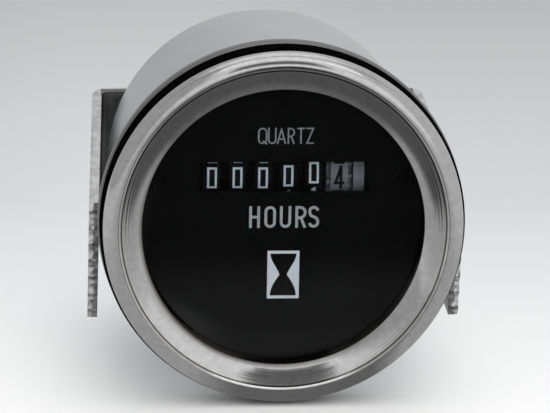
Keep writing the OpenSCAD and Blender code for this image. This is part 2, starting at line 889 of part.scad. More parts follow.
// Timer chip on the rear of the board
module timer_chip() {
    chip_w = 6;
    chip_t = 1.5;
    chip_h = 5;
    chip_z = -9.5;
    stand_off = 0.15;
    pin_w = 0.4;
    pin_t = 0.6;
    pin_h = 1;
    pin_step = 1.27;
    color([0.12, 0.12, 0.13]) {
        translate([-chip_w / 2, board_rear + stand_off, chip_z - chip_h / 2])
            cube([chip_w, chip_t, chip_h]);
        for (i = [-1.5 : 1.5], side = [-1, 1])
            translate([i * pin_step - pin_w / 2, board_rear, chip_z + side * chip_h / 2 - pin_h / 2])
                cube([pin_w, pin_t, pin_h]);
    }
}

// Crystal can lying on the board
module quartz_crystal() {
    crystal_r = 1.5;
    crystal_inset = 6.6;
    crystal_z = crystal_inset - board_r;
    crystal_len = 8.5;
    color("silver")
        x_rod([board_rear + crystal_r, crystal_z], crystal_r, -crystal_len, 0);
}

// Capacitor can lying on the board
module smoothing_capacitor() {
    can_r = rear_room * 0.42;
    can_z = 8;
    can_len = 9;
    color([0.2, 0.22, 0.4])
        x_rod([board_rear + can_r, can_z], can_r, -can_len / 2, can_len / 2);
}

// Two brass pillars: the studs screw in from behind, the frame's screws from the front
module frame_pillars() {
    color("goldenrod")
        both_sides(stud_x)
            difference() {
                union() {
                    y_rod([0, 0], pillar_neck_r, cross_face_y, board_rear);
                    y_rod([0, 0], pillar_r, board_rear, rear_inside);
                }
                y_rod([0, 0], frame_screw_r + thread_gap, cross_face_y - past, frame_screw_end + face_gap);
                y_rod([0, 0], stud_r + thread_gap, rear_inside - stud_hold - face_gap, rear_inside + past);
            }
}

// Two tubes between the frame and the board
module board_spacers() {
    spacer_wall = 1;
    color([0.85, 0.85, 0.8])
        both_sides(stud_x)
            difference() {
                y_rod([0, 0], pillar_neck_r + spacer_wall, cross_face_y, board_y);
                y_rod([0, 0], pillar_neck_r + thread_gap, cross_face_y - past, board_y + past);
            }
}

// Two screws from the frame into the pillars
module frame_screws() {
    head_h = 1.1;
    slot_w = 0.6;
    color("lightgray")
        both_sides(stud_x)
            difference() {
                union() {
                    y_rod([0, 0], frame_screw_r, cross_y, frame_screw_end);
                    y_rod([0, 0], frame_screw_head_r, cross_y - head_h, cross_y);
                }
                translate([-slot_w / 2, cross_y - head_h * 1.5, -pillar_r])
                    cube([slot_w, head_h, 2 * pillar_r]);
            }
}

// Moulded block that carries the blades through the rear wall
module terminal_block() {
    color([0.1, 0.1, 0.11])
        difference() {
            union() {
                y_plate(board_rear, rear_inside)
                    round_rect([-block_w / 2, blade_z - block_h / 2], [block_w / 2, blade_z + block_h / 2], 1);
                y_plate(rear_inside, case_len + boss_out)
                    round_rect([-boss_w / 2, blade_z - boss_h / 2], [boss_w / 2, blade_z + boss_h / 2], 0.9);
            }
            both_sides(blade_gap / 2)
                translate([-blade_w / 2 - thread_gap, board_rear - past, blade_z - blade_t / 2 - thread_gap])
                    cube([blade_w + 2 * thread_gap, blade_end - board_rear, blade_t + 2 * thread_gap]);
        }
}

// Two tab terminals with bevelled tips and a locking hole
module terminal_blades() {
    bevel = 1.1;
    shoulder_y = board_rear;
    tail_y = board_y - 0.4;
    color("silver")
        both_sides(blade_gap / 2)
            difference() {
                translate([0, 0, blade_z - blade_t / 2])
                    linear_extrude(blade_t)
                        polygon([
                            [-blade_tab_w / 2, tail_y], [blade_tab_w / 2, tail_y],
                            [blade_tab_w / 2, shoulder_y], [blade_w / 2, shoulder_y],
                            [blade_w / 2, blade_end - bevel], [blade_w / 2 - bevel, blade_end],
                            [-blade_w / 2 + bevel, blade_end], [-blade_w / 2, blade_end - bevel],
                            [-blade_w / 2, shoulder_y], [-blade_tab_w / 2, shoulder_y]
                        ]);
                translate([0, blade_end - blade_out / 2, blade_z - blade_t])
                    cylinder(d = blade_hole_d, h = 2 * blade_t);
            }
}

// Two studs with chamfered ends
module mounting_studs() {
    chamfer = 0.5;
    start = rear_inside - stud_hold;
    color([0.78, 0.78, 0.76])
        both_sides(stud_x)
            turned([
                [0, start], [stud_r, start], [stud_r, stud_end - chamfer],
                [stud_r - chamfer, stud_end], [0, stud_end]
            ]);
}

// A plain washer round a stud
module stud_washer(from) {
    both_sides(stud_x)
        difference() {
            y_rod([0, 0], washer_r, from, from + washer_t);
            y_rod([0, 0], stud_r + face_gap, from - past, from + washer_t + past);
        }
}

// A hexagon nut on a stud
module stud_nut(from, height) {
    across_corners = nut_af / cos(30);
    both_sides(stud_x)
        difference() {
            translate([0, from, 0])
                rotate([-90, 0, 0])
                    cylinder(d = across_corners, h = height, $fn = 6);
            y_rod([0, 0], stud_r + thread_gap, from - past, from + height + past);
        }
}

module case_washers() {
    color([0.76, 0.76, 0.74])
        stud_washer(case_len);
}

module case_nuts() {
    color([0.76, 0.76, 0.74])
        stud_nut(case_len + washer_t, nut_h);
}

module clamp_washers() {
    color([0.76, 0.76, 0.74])
        stud_washer(clamp_washer_y);
}

module clamp_nuts() {
    color([0.76, 0.76, 0.74])
        stud_nut(clamp_nut_y, clamp_nut_h);
}

// Points mirrored to the left side, in reverse order
function mirrored(points) = [
    for (i = [len(points) - 1 : -1 : 0])
        [-points[i][0], points[i][1]]
];

// The strap seen from above, level, with the pivot line at the origin and legs that run past their teeth
module strap_outline() {
    bend_at = [bend_x, -bend_drop];
    along = [sin(leg_splay), -cos(leg_splay)];
    out_r = bend_r + strap_t;
    leg_side = [cos(leg_splay), sin(leg_splay)];
    leg_tip = bend_at + (leg_len + past) * along;
    right_half = concat(
        arc(bend_at, [bend_r, bend_r], 90, leg_splay, bend_steps),
        [leg_tip + bend_r * leg_side, leg_tip + out_r * leg_side],
        arc(bend_at, [out_r, out_r], leg_splay, 90, bend_steps)
    );
    polygon(concat(right_half, mirrored(right_half)));
}

// What is cut away in front of the teeth, as [distance from the bend, height]
module teeth_cut() {
    tooth_w = strap_w / leg_teeth;
    far = leg_len + 2 * past;
    polygon(concat(
        [[far, -strap_w / 2 - tooth_w / 2]],
        [
            for (i = [0 : leg_teeth])
                for (edge = [-0.5, 0])
                    [leg_len - tooth_h * (1 + 2 * edge), -strap_w / 2 + (i + edge) * tooth_w]
        ],
        [[far, strap_w / 2 + tooth_w / 2]]
    ));
}

// Folded strap, drawn level about its pivot line and then pitched as it hangs
module clamp_bracket() {
    color([0.75, 0.73, 0.68])
        translate([0, pivot_y, 0])
            rotate([hang_pitch, 0, 0])
                difference() {
                    translate([0, 0, -strap_w / 2])
                        linear_extrude(strap_w)
                            strap_outline();
                    for (side = [0, 1])
                        mirror([side, 0, 0])
                            translate([bend_x, -bend_drop, 0])
                                rotate([0, 0, leg_splay])
                                    translate([bend_r - past, 0, 0])
                                        rotate([90, 0, 90])
                                            linear_extrude(strap_t + 2 * past)
                                                rotate(180)
                                                    teeth_cut();
                    both_sides(stud_x)
                        y_rod([0, 0], bracket_hole_d / 2, -strap_t, strap_t);
                }
}

case_can();
bezel_gasket();
bezel();
glass_lens();
lens_seal();
dial_plate();
dial_screws();
counter_frame();
wheel_shaft();
pinion_shaft();
wheel_ten_thousands();
wheel_thousands();
wheel_hundreds();
wheel_tens();
wheel_units();
wheel_tenths();
pinion_ten_thousands();
pinion_thousands();
pinion_hundreds();
pinion_tens();
pinion_units();
drive_gear();
first_arbor();
second_arbor();
motor_rotor();
gear_bridge();
bridge_posts();
bridge_screws();
motor_stator();
coil_bobbin();
coil_winding();
circuit_board();
timer_chip();
quartz_crystal();
smoothing_capacitor();
frame_pillars();
board_spacers();
frame_screws();
terminal_block();
terminal_blades();
mounting_studs();
case_washers();
case_nuts();
clamp_washers();
clamp_nuts();
clamp_bracket();
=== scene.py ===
# %% [markdown]
# # A panel hour meter
# An hour meter counts how long an engine has run. A drawn steel case goes through a hole in the panel,
# a polished bezel holds the glass over a black dial, and a bracket behind pulls the case tight.
# The solids come from the imported frame, so this lesson only gives them finishes, lettering and light.
# We load the frame first and keep its box, whose bottom later sets the table's height. We load the
# frame first and keep its box, because the dressed meter has to stay the same size.

# %% Load the solids
import json
import math

import bmesh
import bpy
from mathutils import Matrix, Vector

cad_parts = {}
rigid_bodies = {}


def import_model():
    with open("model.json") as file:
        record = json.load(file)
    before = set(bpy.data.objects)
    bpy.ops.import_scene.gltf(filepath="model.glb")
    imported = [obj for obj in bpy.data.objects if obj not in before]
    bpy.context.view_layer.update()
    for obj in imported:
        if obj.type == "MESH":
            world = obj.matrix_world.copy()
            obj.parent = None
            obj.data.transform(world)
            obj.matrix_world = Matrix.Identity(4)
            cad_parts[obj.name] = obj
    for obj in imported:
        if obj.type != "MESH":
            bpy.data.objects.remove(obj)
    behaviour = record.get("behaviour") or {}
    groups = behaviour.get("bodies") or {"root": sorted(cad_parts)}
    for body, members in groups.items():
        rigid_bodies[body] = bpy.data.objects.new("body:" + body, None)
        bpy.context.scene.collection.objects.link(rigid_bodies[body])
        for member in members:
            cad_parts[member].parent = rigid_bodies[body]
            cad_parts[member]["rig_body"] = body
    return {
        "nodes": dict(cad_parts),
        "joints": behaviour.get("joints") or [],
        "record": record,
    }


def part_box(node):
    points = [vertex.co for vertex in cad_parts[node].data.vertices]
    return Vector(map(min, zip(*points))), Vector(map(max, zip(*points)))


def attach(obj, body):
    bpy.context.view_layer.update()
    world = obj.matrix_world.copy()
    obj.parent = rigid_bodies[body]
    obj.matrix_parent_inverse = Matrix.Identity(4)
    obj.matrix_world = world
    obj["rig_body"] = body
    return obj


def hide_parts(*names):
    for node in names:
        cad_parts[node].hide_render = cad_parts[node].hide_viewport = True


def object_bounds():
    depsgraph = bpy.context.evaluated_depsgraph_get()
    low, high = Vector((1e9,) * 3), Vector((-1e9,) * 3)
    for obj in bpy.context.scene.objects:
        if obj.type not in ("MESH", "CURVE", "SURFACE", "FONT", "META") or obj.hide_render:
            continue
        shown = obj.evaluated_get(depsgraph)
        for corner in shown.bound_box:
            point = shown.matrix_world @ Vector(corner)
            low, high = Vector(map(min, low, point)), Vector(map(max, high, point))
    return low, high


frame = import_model()
cad_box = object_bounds()
MM = 0.001
nodes = frame["nodes"]
axes = {j["child"]: Vector(j["pos_m"]) for j in frame["joints"]}
print("solids:", len(nodes), "joints:", len(axes))

# %% [markdown]
# ## Small helpers for node trees
# Shader trees and geometry trees are both made of nodes, sockets and links. Typing each one out hides
# what a tree does, so a few helpers add a node with its values and make a named group with its sockets.
# A value that is itself a socket is linked, and any other value is typed into the socket.

# %% Node helpers
def add_node(tree, kind, values=(), **settings):
    made = tree.nodes.new(kind)
    for key, value in settings.items():
        setattr(made, key, value)
    for key, value in dict(values).items():
        if isinstance(value, bpy.types.NodeSocket):
            tree.links.new(value, made.inputs[key])
        else:
            made.inputs[key].default_value = value
    return made


def new_group(name, kind, inputs, outputs):
    tree = bpy.data.node_groups.new(name, kind)
    for side, sockets in (("INPUT", inputs), ("OUTPUT", outputs)):
        for label, socket in sockets.items():
            tree.interface.new_socket(label, in_out=side, socket_type="NodeSocket" + socket)
    return tree, add_node(tree, "NodeGroupInput").outputs, add_node(tree, "NodeGroupOutput").inputs


print("node helpers ready")

# %% [markdown]
# Masks and shapes need sums. A socket knows the tree it belongs to, so these helpers take only values: one
# sum, a product of several, a vector taken apart or put together, a ramp from one range to another, and
# three ways to measure a place.

# %% Sum helpers
def tree_of(*values):
    return next(value.id_data for value in values if isinstance(value, bpy.types.NodeSocket))


def calc(operation, a, b=0.0):
    return add_node(tree_of(a, b), "ShaderNodeMath", {0: a, 1: b}, operation=operation).outputs[0]


def product(*values):
    total = values[0]
    for value in values[1:]:
        total = calc("MULTIPLY", total, value)
    return total


def split(vector):
    return add_node(vector.id_data, "ShaderNodeSeparateXYZ", {0: vector}).outputs


def join(x=0.0, y=0.0, z=0.0):
    return add_node(tree_of(x, y, z), "ShaderNodeCombineXYZ", {0: x, 1: y, 2: z}).outputs[0]


def ramp(value, start, end, low=0.0, high=1.0, soft=True):
    """Goes from low to high while the value goes from start to end, and stays level outside."""
    return add_node(
        value.id_data, "ShaderNodeMapRange",
        {"Value": value, "From Min": start, "From Max": end, "To Min": low, "To Max": high},
        interpolation_type="SMOOTHSTEP" if soft else "LINEAR",
    ).outputs[0]


def beside_line(value, line):
    """How far a value lies from a line, on either side."""
    return calc("ABSOLUTE", calc("SUBTRACT", value, line))


def object_place(tree):
    """The x, y and z of a point in its object's own coordinates."""
    return split(add_node(tree, "ShaderNodeTexCoord").outputs["Object"])


def from_axis(place):
    """A place's distance from the meter's axis, which runs along y."""
    flat = join(place[0], place[2])
    return add_node(flat.id_data, "ShaderNodeVectorMath", {0: flat}, operation="LENGTH").outputs["Value"]


print("sum helpers ready")

# %% [markdown]
# ## Two effects that many finishes share
# Real metal and plastic are never one flat value: plating clouds a little, and anything turned on a lathe
# keeps fine rings. Each effect is a shader group built once. "Clouding" mixes two colours and two
# roughnesses by noise, and "turned rings" draws noise that only changes with the radius and the depth.

# %% Clouding group
clouding, g_in, g_out = new_group(
    "clouding", "ShaderNodeTree",
    {"Scale": "Float", "First Colour": "Color", "Second Colour": "Color",
     "Smooth": "Float", "Rough": "Float"},
    {"Color": "Color", "Roughness": "Float", "Height": "Float"},
)
place = add_node(clouding, "ShaderNodeTexCoord").outputs["Object"]
noise = add_node(
    clouding, "ShaderNodeTexNoise", {"Vector": place, "Scale": g_in["Scale"], "Detail": 6.0}
).outputs[0]
spread = ramp(noise, 0.32, 0.68)
tint = add_node(
    clouding, "ShaderNodeMix", {0: spread, 6: g_in["First Colour"], 7: g_in["Second Colour"]},
    data_type="RGBA",
)
shine = ramp(spread, 0.0, 1.0, g_in["Smooth"], g_in["Rough"], soft=False)
clouding.links.new(tint.outputs[2], g_out["Color"])
clouding.links.new(shine, g_out["Roughness"])
clouding.links.new(noise, g_out["Height"])
print("group:", clouding.name)

# %% Turned rings group
rings, g_in, g_out = new_group(
    "turned rings", "ShaderNodeTree",
    {"Rings": "Float", "Smooth": "Float", "Rough": "Float"}, {"Roughness": "Float", "Height": "Float"},
)
place = object_place(rings)
around = join(from_axis(place), place[1])
noise = add_node(
    rings, "ShaderNodeTexNoise", {"Vector": around, "Scale": g_in["Rings"], "Detail": 4.0}
).outputs[0]
shine = ramp(noise, 0.3, 0.7, g_in["Smooth"], g_in["Rough"], soft=False)
rings.links.new(shine, g_out["Roughness"])
rings.links.new(noise, g_out["Height"])
print("group:", rings.name)

# %% [markdown]
# ## The finishes
# Every finish is one Principled BSDF. The clouding group feeds its colour, either group feeds its
# roughness, and the height goes through a Bump node where the surface has a grain that can be felt.
# Values that are the same all over, such as Metallic, are typed on the shader itself.

# %% Finish maker
def finish(name, colours, roughness, scale, metallic=0.0, turned=0.0, bump=0.0, gloss=0.5):
    """A finish that clouds between two colours and two roughnesses, with a bump height in millimetres."""
    mat = bpy.data.materials.new(name)
    mat.use_nodes = True
    tree = mat.node_tree
    shader = tree.nodes["Principled BSDF"]
    shader.inputs["Metallic"].default_value = metallic
    shader.inputs["Specular IOR Level"].default_value = gloss
    shine = {"Smooth": roughness[0], "Rough": roughness[1]}
    tints = {"First Colour": (*colours[0], 1.0), "Second Colour": (*colours[1], 1.0)}
    cloud = add_node(tree, "ShaderNodeGroup", {"Scale": scale, **tints, **shine}, node_tree=clouding)
    grain = cloud
    if turned:
        grain = add_node(tree, "ShaderNodeGroup", {"Rings": turned, **shine}, node_tree=rings)
    tree.links.new(cloud.outputs["Color"], shader.inputs["Base Color"])
    tree.links.new(grain.outputs["Roughness"], shader.inputs["Roughness"])
    if bump:
        height = grain.outputs["Height"]
        relief = add_node(tree, "ShaderNodeBump", {"Height": height, "Distance": bump * MM})
        tree.links.new(relief.outputs[0], shader.inputs["Normal"])
    return mat


def grey(level):
    return (level, level, level)


print("finish maker ready")

# %% [markdown]
# Metals come first. Steel and zinc are grey with a wide, soft sheen, and brass and copper carry their
# colour in the reflection itself. The bezel is the only mirror, and it alone gets the turned rings.

# %% Metals
METALS = {
    "case_steel": ("satin plated case", (0.69, 0.705, 0.715), (0.74, 0.755, 0.765), (0.36, 0.46), 90.0),
    "frame_steel": ("plated frame sheet", grey(0.5), grey(0.58), (0.3, 0.42), 200.0),
    "shaft_steel": ("ground steel", grey(0.55), grey(0.6), (0.18, 0.3), 500.0),
    "gear_brass": ("turned brass", (0.72, 0.5, 0.2), (0.8, 0.58, 0.26), (0.2, 0.34), 500.0),
    "bridge_brass": ("brushed brass plate", (0.66, 0.48, 0.22), (0.72, 0.54, 0.27), (0.28, 0.4), 260.0),
    "stator_iron": ("annealed iron", grey(0.22), grey(0.28), (0.35, 0.5), 300.0),
    "copper_wire": ("lacquered copper", (0.6, 0.22, 0.09), (0.7, 0.28, 0.12), (0.25, 0.35), 600.0),
    "crystal_can": ("drawn crystal can", grey(0.6), grey(0.66), (0.15, 0.26), 400.0),
    "tinned_brass": ("tinned blade", grey(0.56), grey(0.64), (0.2, 0.36), 350.0),
    "bezel_chrome": ("polished bezel", grey(0.61), grey(0.68), (0.07, 0.15), 900.0),
    "zinc_plate": ("zinc plating", grey(0.62), grey(0.87), (0.32, 0.5), 520.0),
    "rotor_magnet": ("sintered magnet", grey(0.07), grey(0.1), (0.45, 0.6), 900.0),
}
METAL_EXTRAS = {
    "bezel_chrome": {"turned": 2600.0, "bump": 0.006},
    "zinc_plate": {"bump": 0.01},
    "rotor_magnet": {"metallic": 0.8},
}
finishes = {}
for slot, (name, first, second, roughness, scale) in METALS.items():
    extras = {"metallic": 1.0, **METAL_EXTRAS.get(slot, {})}
    finishes[slot] = finish(name, (first, second), roughness, scale, **extras)
print("metals:", len(finishes))

# %% [markdown]
# Then plastics, paint and rubber. Gloss is the strength of the clear reflection on top of the colour: the
# flat black paint and the rubber have next to none, or the dial would look grey under the glass.

# %% Plastics, paint and rubber
PLASTICS = {
    "gasket_rubber": ("black gasket rubber", grey(0.001), grey(0.003), (0.75, 0.9), 900.0, 0.01, 0.0),
    "dial_black": ("flat black dial paint", grey(0.002), grey(0.004), (0.5, 0.65), 700.0, 0.0, 0.06),
    "wheel_black": ("black wheel plastic", grey(0.003), grey(0.006), (0.5, 0.6), 700.0, 0.0, 0.1),
    "wheel_white": (
        "pale wheel plastic", (0.15, 0.155, 0.18), (0.22, 0.225, 0.25), (0.4, 0.5), 500.0, 0.0, 0.2),
    "pinion_plastic": (
        "ivory pinion plastic", (0.7, 0.66, 0.55), (0.76, 0.72, 0.62), (0.3, 0.4), 400.0, 0.0, 0.5),
    "moulded_black": ("moulded black plastic", grey(0.012), grey(0.02), (0.45, 0.6), 800.0, 0.01, 0.5),
    "board_green": (
        "green board lacquer", (0.015, 0.1, 0.04), (0.02, 0.13, 0.055), (0.25, 0.35), 300.0, 0.0, 0.5),
    "capacitor_sleeve": (
        "shrunk blue sleeve", (0.02, 0.03, 0.13), (0.03, 0.04, 0.17), (0.2, 0.3), 300.0, 0.0, 0.5),
    "spacer_plastic": ("natural spacer plastic", grey(0.66), grey(0.72), (0.4, 0.5), 400.0, 0.0, 0.5),
}
for slot, (name, first, second, roughness, scale, bump, gloss) in PLASTICS.items():
    finishes[slot] = finish(name, (first, second), roughness, scale, bump=bump, gloss=gloss)
print("finishes:", len(finishes))

# %% [markdown]
# ## The glass
# Some surfaces need two shaders, one for most rays and another where a factor says so. A Mix Shader does
# that, and a helper sends it to the material's surface.

# %% Surface helper
def blend_surfaces(factor, first, second):
    """Sends one shader to the surface where a factor is 0, and another where it is 1."""
    tree = factor.id_data
    mixed = add_node(
        tree, "ShaderNodeMixShader", {0: factor, 1: first.outputs[0], 2: second.outputs[0]}
    )
    tree.links.new(mixed.outputs[0], tree.nodes["Material Output"].inputs["Surface"])


print("surface helper ready")

# %% [markdown]
# Glass is a Principled BSDF with full transmission. Lamps and the sky can't shine through it in a path
# tracer without a lot of noise, so shadow rays meet a Transparent shader in its place.

# %% Lens glass
glass = bpy.data.materials.new("clear lens glass")
glass.use_nodes = True
tree = glass.node_tree
shader = tree.nodes["Principled BSDF"]
shader.inputs["Base Color"].default_value = (0.96, 0.98, 0.98, 1.0)
shader.inputs["Transmission Weight"].default_value = 1.0
shader.inputs["IOR"].default_value = 1.45
smear = add_node(
    tree, "ShaderNodeGroup", {"Scale": 120.0, "Smooth": 0.0, "Rough": 0.03}, node_tree=clouding
)
tree.links.new(smear.outputs["Roughness"], shader.inputs["Roughness"])
lamp_ray = add_node(tree, "ShaderNodeLightPath").outputs["Is Shadow Ray"]
blend_surfaces(lamp_ray, shader, add_node(tree, "ShaderNodeBsdfTransparent"))
finishes["lens_glass"] = glass
print("glass:", glass.name)

# %% [markdown]
# ## Marks on a finish
# Some pieces need a second colour in one place. A mark keeps the finish as it is and lays a shade over its
# colour wherever a mask is one, so the clouding stays alive everywhere else.

# %% Mark helper
def mark(mask, shade):
    """Lays a shade, a colour or a socket, over a finish's colour where the mask is 1."""
    tree = mask.id_data
    colour = tree.nodes["Principled BSDF"].inputs["Base Color"]
    before = colour.links[0].from_socket
    mixed = add_node(tree, "ShaderNodeMix", {0: mask, 6: before, 7: shade}, data_type="RGBA")
    tree.links.new(mixed.outputs[2], colour)


print("mark helper ready")

# %% [markdown]
# ## The bracket's broken ends and painted shade
# The bracket's legs are notched and snapped to length, so each front end is half grey shear and half
# dark, torn metal, with a line at every notch. The bracket hangs at an angle, so a Mapping node first turns
# its coordinates level. Fine noise makes the borders of the marks wander.

# %% Level coordinates
HANG = math.radians(12.0)
zinc = finishes["zinc_plate"].copy()
zinc.name = "zinc plating with torn ends and painted shade"
tree = zinc.node_tree
local = add_node(tree, "ShaderNodeTexCoord").outputs["Object"]
level = add_node(
    tree, "ShaderNodeMapping",
    {"Vector": local, "Location": axes["clamp_bracket"], "Rotation": (HANG, 0.0, 0.0)},
    vector_type="TEXTURE",
)
strap = split(level.outputs[0])
across = calc("ABSOLUTE", strap[0])
grain = add_node(tree, "ShaderNodeTexNoise", {"Vector": local, "Scale": 1100.0, "Detail": 6.0}).outputs[0]
wobble = calc("MULTIPLY", calc("SUBTRACT", grain, 0.5), 2.0 * MM)
print("level coordinates for:", zinc.name)

# %% [markdown]
# The back plate is darker between the legs: painted shade, where the case and the legs shadow it. It is a
# thin layer about the plate's front face, so two limits pick it: the distance from the middle, and the
# distance from that face.

# %% Painted shade on the back plate
PLATE_SHADE_HALF, PLATE_SHADE_DEPTH, PLATE_SHADE_REACH = 26.9, 1.1, 1.3
inside = calc("LESS_THAN", across, PLATE_SHADE_HALF * MM)
from_face = calc("ABSOLUTE", calc("ADD", strap[1], PLATE_SHADE_DEPTH * MM))
near_face = calc("LESS_THAN", from_face, PLATE_SHADE_REACH * MM)
# The mark is painted shade on the plate between the legs.
mark(product(inside, near_face, 0.85), (0.12, 0.12, 0.12, 1.0))
print("painted plate shade within", PLATE_SHADE_HALF, "mm of the middle")

# %% [markdown]
# On the leg ends the depth picks the end, the side-to-side place picks the torn half, and a repeat along
# the strap's width gives the notch lines. Torn metal and lines are each half as bright as the sheared half.

# %% Torn leg ends
LEG_END, LEG_MIDDLE, NOTCH, NOTCH_LINE = -43.3, 29.85, 3.0, 0.3
at_end = calc("LESS_THAN", strap[1], LEG_END * MM)
torn = calc("LESS_THAN", calc("ADD", across, wobble), LEG_MIDDLE * MM)
to_notch = calc("PINGPONG", calc("ADD", strap[2], wobble), NOTCH / 2 * MM)
line = calc("LESS_THAN", to_notch, NOTCH_LINE * MM)
halves = [calc("SUBTRACT", 1.0, calc("MULTIPLY", m, 0.5)) for m in (line, torn)]
patchy = ramp(grain, 0.35, 0.65, 0.42, 1.0, soft=False)
mark(at_end, product(patchy, *halves))
print("torn ends past", LEG_END, "mm")

# %% [markdown]
# ## Two finishes with a darker part
# The case's curled flange is darker than the drawn can behind it. The pale hub ends in teeth that stand in
# the shade of the dial, and that shade is painted into their colour. In both, one coordinate picks the
# dark part.

# %% Darker parts
FLANGE_Y, TEETH_X = -0.05, 13.4
flanged = finishes["case_steel"].copy()
flanged.name = "plated case with dark flange"
tree = flanged.node_tree
in_front = calc("LESS_THAN", object_place(tree)[1], FLANGE_Y * MM)
mark(in_front, (*grey(0.26), 1.0))
toothed = finishes["wheel_white"].copy()
toothed.name = "pale hub with painted shade on its teeth"
tree = toothed.node_tree
# Painted shade: the teeth past the hub are darkened.
past_hub = calc("GREATER_THAN", object_place(tree)[0], TEETH_X * MM)
mark(past_hub, (*grey(0.012), 1.0))
print("finishes:", flanged.name, "and", toothed.name)

# %% [markdown]
# ## Finishes on the solids
# The record says which finish each solid takes. A solid keeps its own mesh: only its material changes.

# %% Assign finishes
for entry in frame["record"]["subparts"]:
    solid = nodes[entry["node"]]
    solid.data.materials.clear()
    solid.data.materials.append(finishes[entry["material_slot"]])
for name, special in (("clamp_bracket", zinc), ("case_can", flanged), ("drive_gear", toothed)):
    nodes[name].data.materials[0] = special

# %% [markdown]
# ## Softened copies
# A solid's mesh is loose triangles with hard shading, which shows as bands on a round, shiny piece. We
# could model such a piece again, but its shape is already right. So a copy is merged and shaded smooth up
# to an angle. On the bracket a thin bevel also breaks the sharp edges, so that they catch the light.

# %% Object helpers
def new_object(name, data):
    made = bpy.data.objects.new(name, data)
    bpy.context.scene.collection.objects.link(made)
    return made


def smooth_up_to(mesh, degrees):
    """Smooth shading, with sharp edges where two faces meet at more than an angle."""
    mesh.shade_smooth()
    mesh.set_sharp_from_angle(angle=math.radians(degrees))


print("object helpers ready")

# %% Copy helper
SOFT_ANGLE, FLAT_ANGLE = 32.0, 1.0


def softened(name, bevel):
    """A merged, smoothly shaded copy that stands for a solid, with an edge bevel in millimetres."""
    source = nodes[name]
    mesh = bpy.data.meshes.new(name + "_soft")
    bm = bmesh.new()
    bm.from_mesh(source.data)
    bmesh.ops.remove_doubles(bm, verts=bm.verts, dist=1e-6)
    if bevel:
        bmesh.ops.dissolve_limit(
            bm, angle_limit=math.radians(FLAT_ANGLE), verts=bm.verts, edges=bm.edges
        )
        limit = math.radians(SOFT_ANGLE)
        sharp = [e for e in bm.edges if e.is_manifold and e.calc_face_angle() > limit]
        bmesh.ops.bevel(
            bm, geom=sharp, offset=bevel * MM, segments=2, profile=0.5, affect="EDGES", clamp_overlap=True
        )
    bmesh.ops.triangulate(bm, faces=[f for f in bm.faces if len(f.verts) > 4])
    corners = [v.co.copy() for v in bm.verts]
    bm.verts.index_update()
    faces = [[v.index for v in f.verts] for f in bm.faces]
    bm.free()
    mesh.from_pydata(corners, [], faces)
    smooth_up_to(mesh, SOFT_ANGLE)
    mesh.materials.append(source.data.materials[0])
    piece = new_object(name + "_soft", mesh)
    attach(piece, source["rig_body"])
    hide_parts(name)
    return piece


print("copy helper ready")

# %% [markdown]
# Four pieces gain from it: the round case, the gasket, the dial's screws, and the bracket with its bevel.

# %% Softened pieces
BRACKET_BEVEL = 0.12
for name in ("case_can", "bezel_gasket", "dial_screws", "clamp_bracket"):
    bevel = BRACKET_BEVEL if name == "clamp_bracket" else 0.0
    piece = softened(name, bevel)
    print(piece.name, "faces:", len(piece.data.polygons))

# %% [markdown]
# ## The bezel
# The bezel is spun from one sheet, so its shape follows a rule: a profile turned round the axis. Its mirror
# polish would show every step of a coarse turning, so a geometry tree turns a fine profile instead. A
# grid gives the faces, and each of its points takes its radius and depth from the profile by index.

# %% Tree ending
def end_tree(last, g_in, g_out):
    """Ends a geometry tree: instances become real, take the finish, and go out."""
    tree = last.id_data
    real = add_node(tree, "GeometryNodeRealizeInstances", {0: last.outputs[0]})
    coated = add_node(
        tree, "GeometryNodeSetMaterial", {"Geometry": real.outputs[0], "Material": g_in["Finish"]}
    )
    tree.links.new(coated.outputs[0], g_out[0])


def point_place(tree):
    """The position of each point of a mesh, for a geometry tree."""
    return add_node(tree, "GeometryNodeInputPosition").outputs[0]


print("tree ending ready")

# %% Turning grid
turning, g_in, g_out = new_group(
    "spun ring", "GeometryNodeTree",
    {"Profile": "Geometry", "Points": "Int", "Steps": "Int", "Finish": "Material"}, {"Ring": "Geometry"},
)
sheet = add_node(
    turning, "GeometryNodeMeshGrid",
    {"Size X": 1.0, "Size Y": 1.0, "Vertices X": g_in["Points"], "Vertices Y": g_in["Steps"]},
)
place = point_place(turning)
spot = split(place)
gaps = calc("SUBTRACT", g_in["Points"], 1.0)
along = product(calc("ADD", spot[0], 0.5), gaps)
row = calc("ROUND", along)
turn = calc("MULTIPLY", spot[1], 2.0 * math.pi)
print("grid in:", turning.name)

# %% [markdown]
# Each grid point now has a row and a turn. It looks up its row's profile point and goes round the axis.

# %% Turned points
taken = add_node(
    turning, "GeometryNodeSampleIndex",
    {"Geometry": g_in["Profile"], "Index": row}, data_type="FLOAT_VECTOR", domain="POINT",
)
taken_value = next(s for s in taken.inputs if s.name == "Value" and s.enabled)
turning.links.new(place, taken_value)
outline = split(taken.outputs[0])
moved = join(product(outline[0], calc("COSINE", turn)), outline[1], product(outline[0], calc("SINE", turn)))
placed = add_node(turning, "GeometryNodeSetPosition", {"Geometry": sheet.outputs[0], "Position": moved})
closed = add_node(turning, "GeometryNodeMergeByDistance", {"Geometry": placed.outputs[0], "Distance": 1e-7})
end_tree(closed, g_in, g_out)
print("tree:", turning.name)

# %% [markdown]
# A geometry tree works as a modifier. To get a plain mesh, a holder takes the tree and its values, the
# evaluated result is copied, and the modifier goes. Closed shapes then get their faces turned outwards.

# %% Tree runner
def face_outwards(mesh):
    bm = bmesh.new()
    bm.from_mesh(mesh)
    bmesh.ops.recalc_face_normals(bm, faces=bm.faces)
    bm.to_mesh(mesh)
    bm.free()


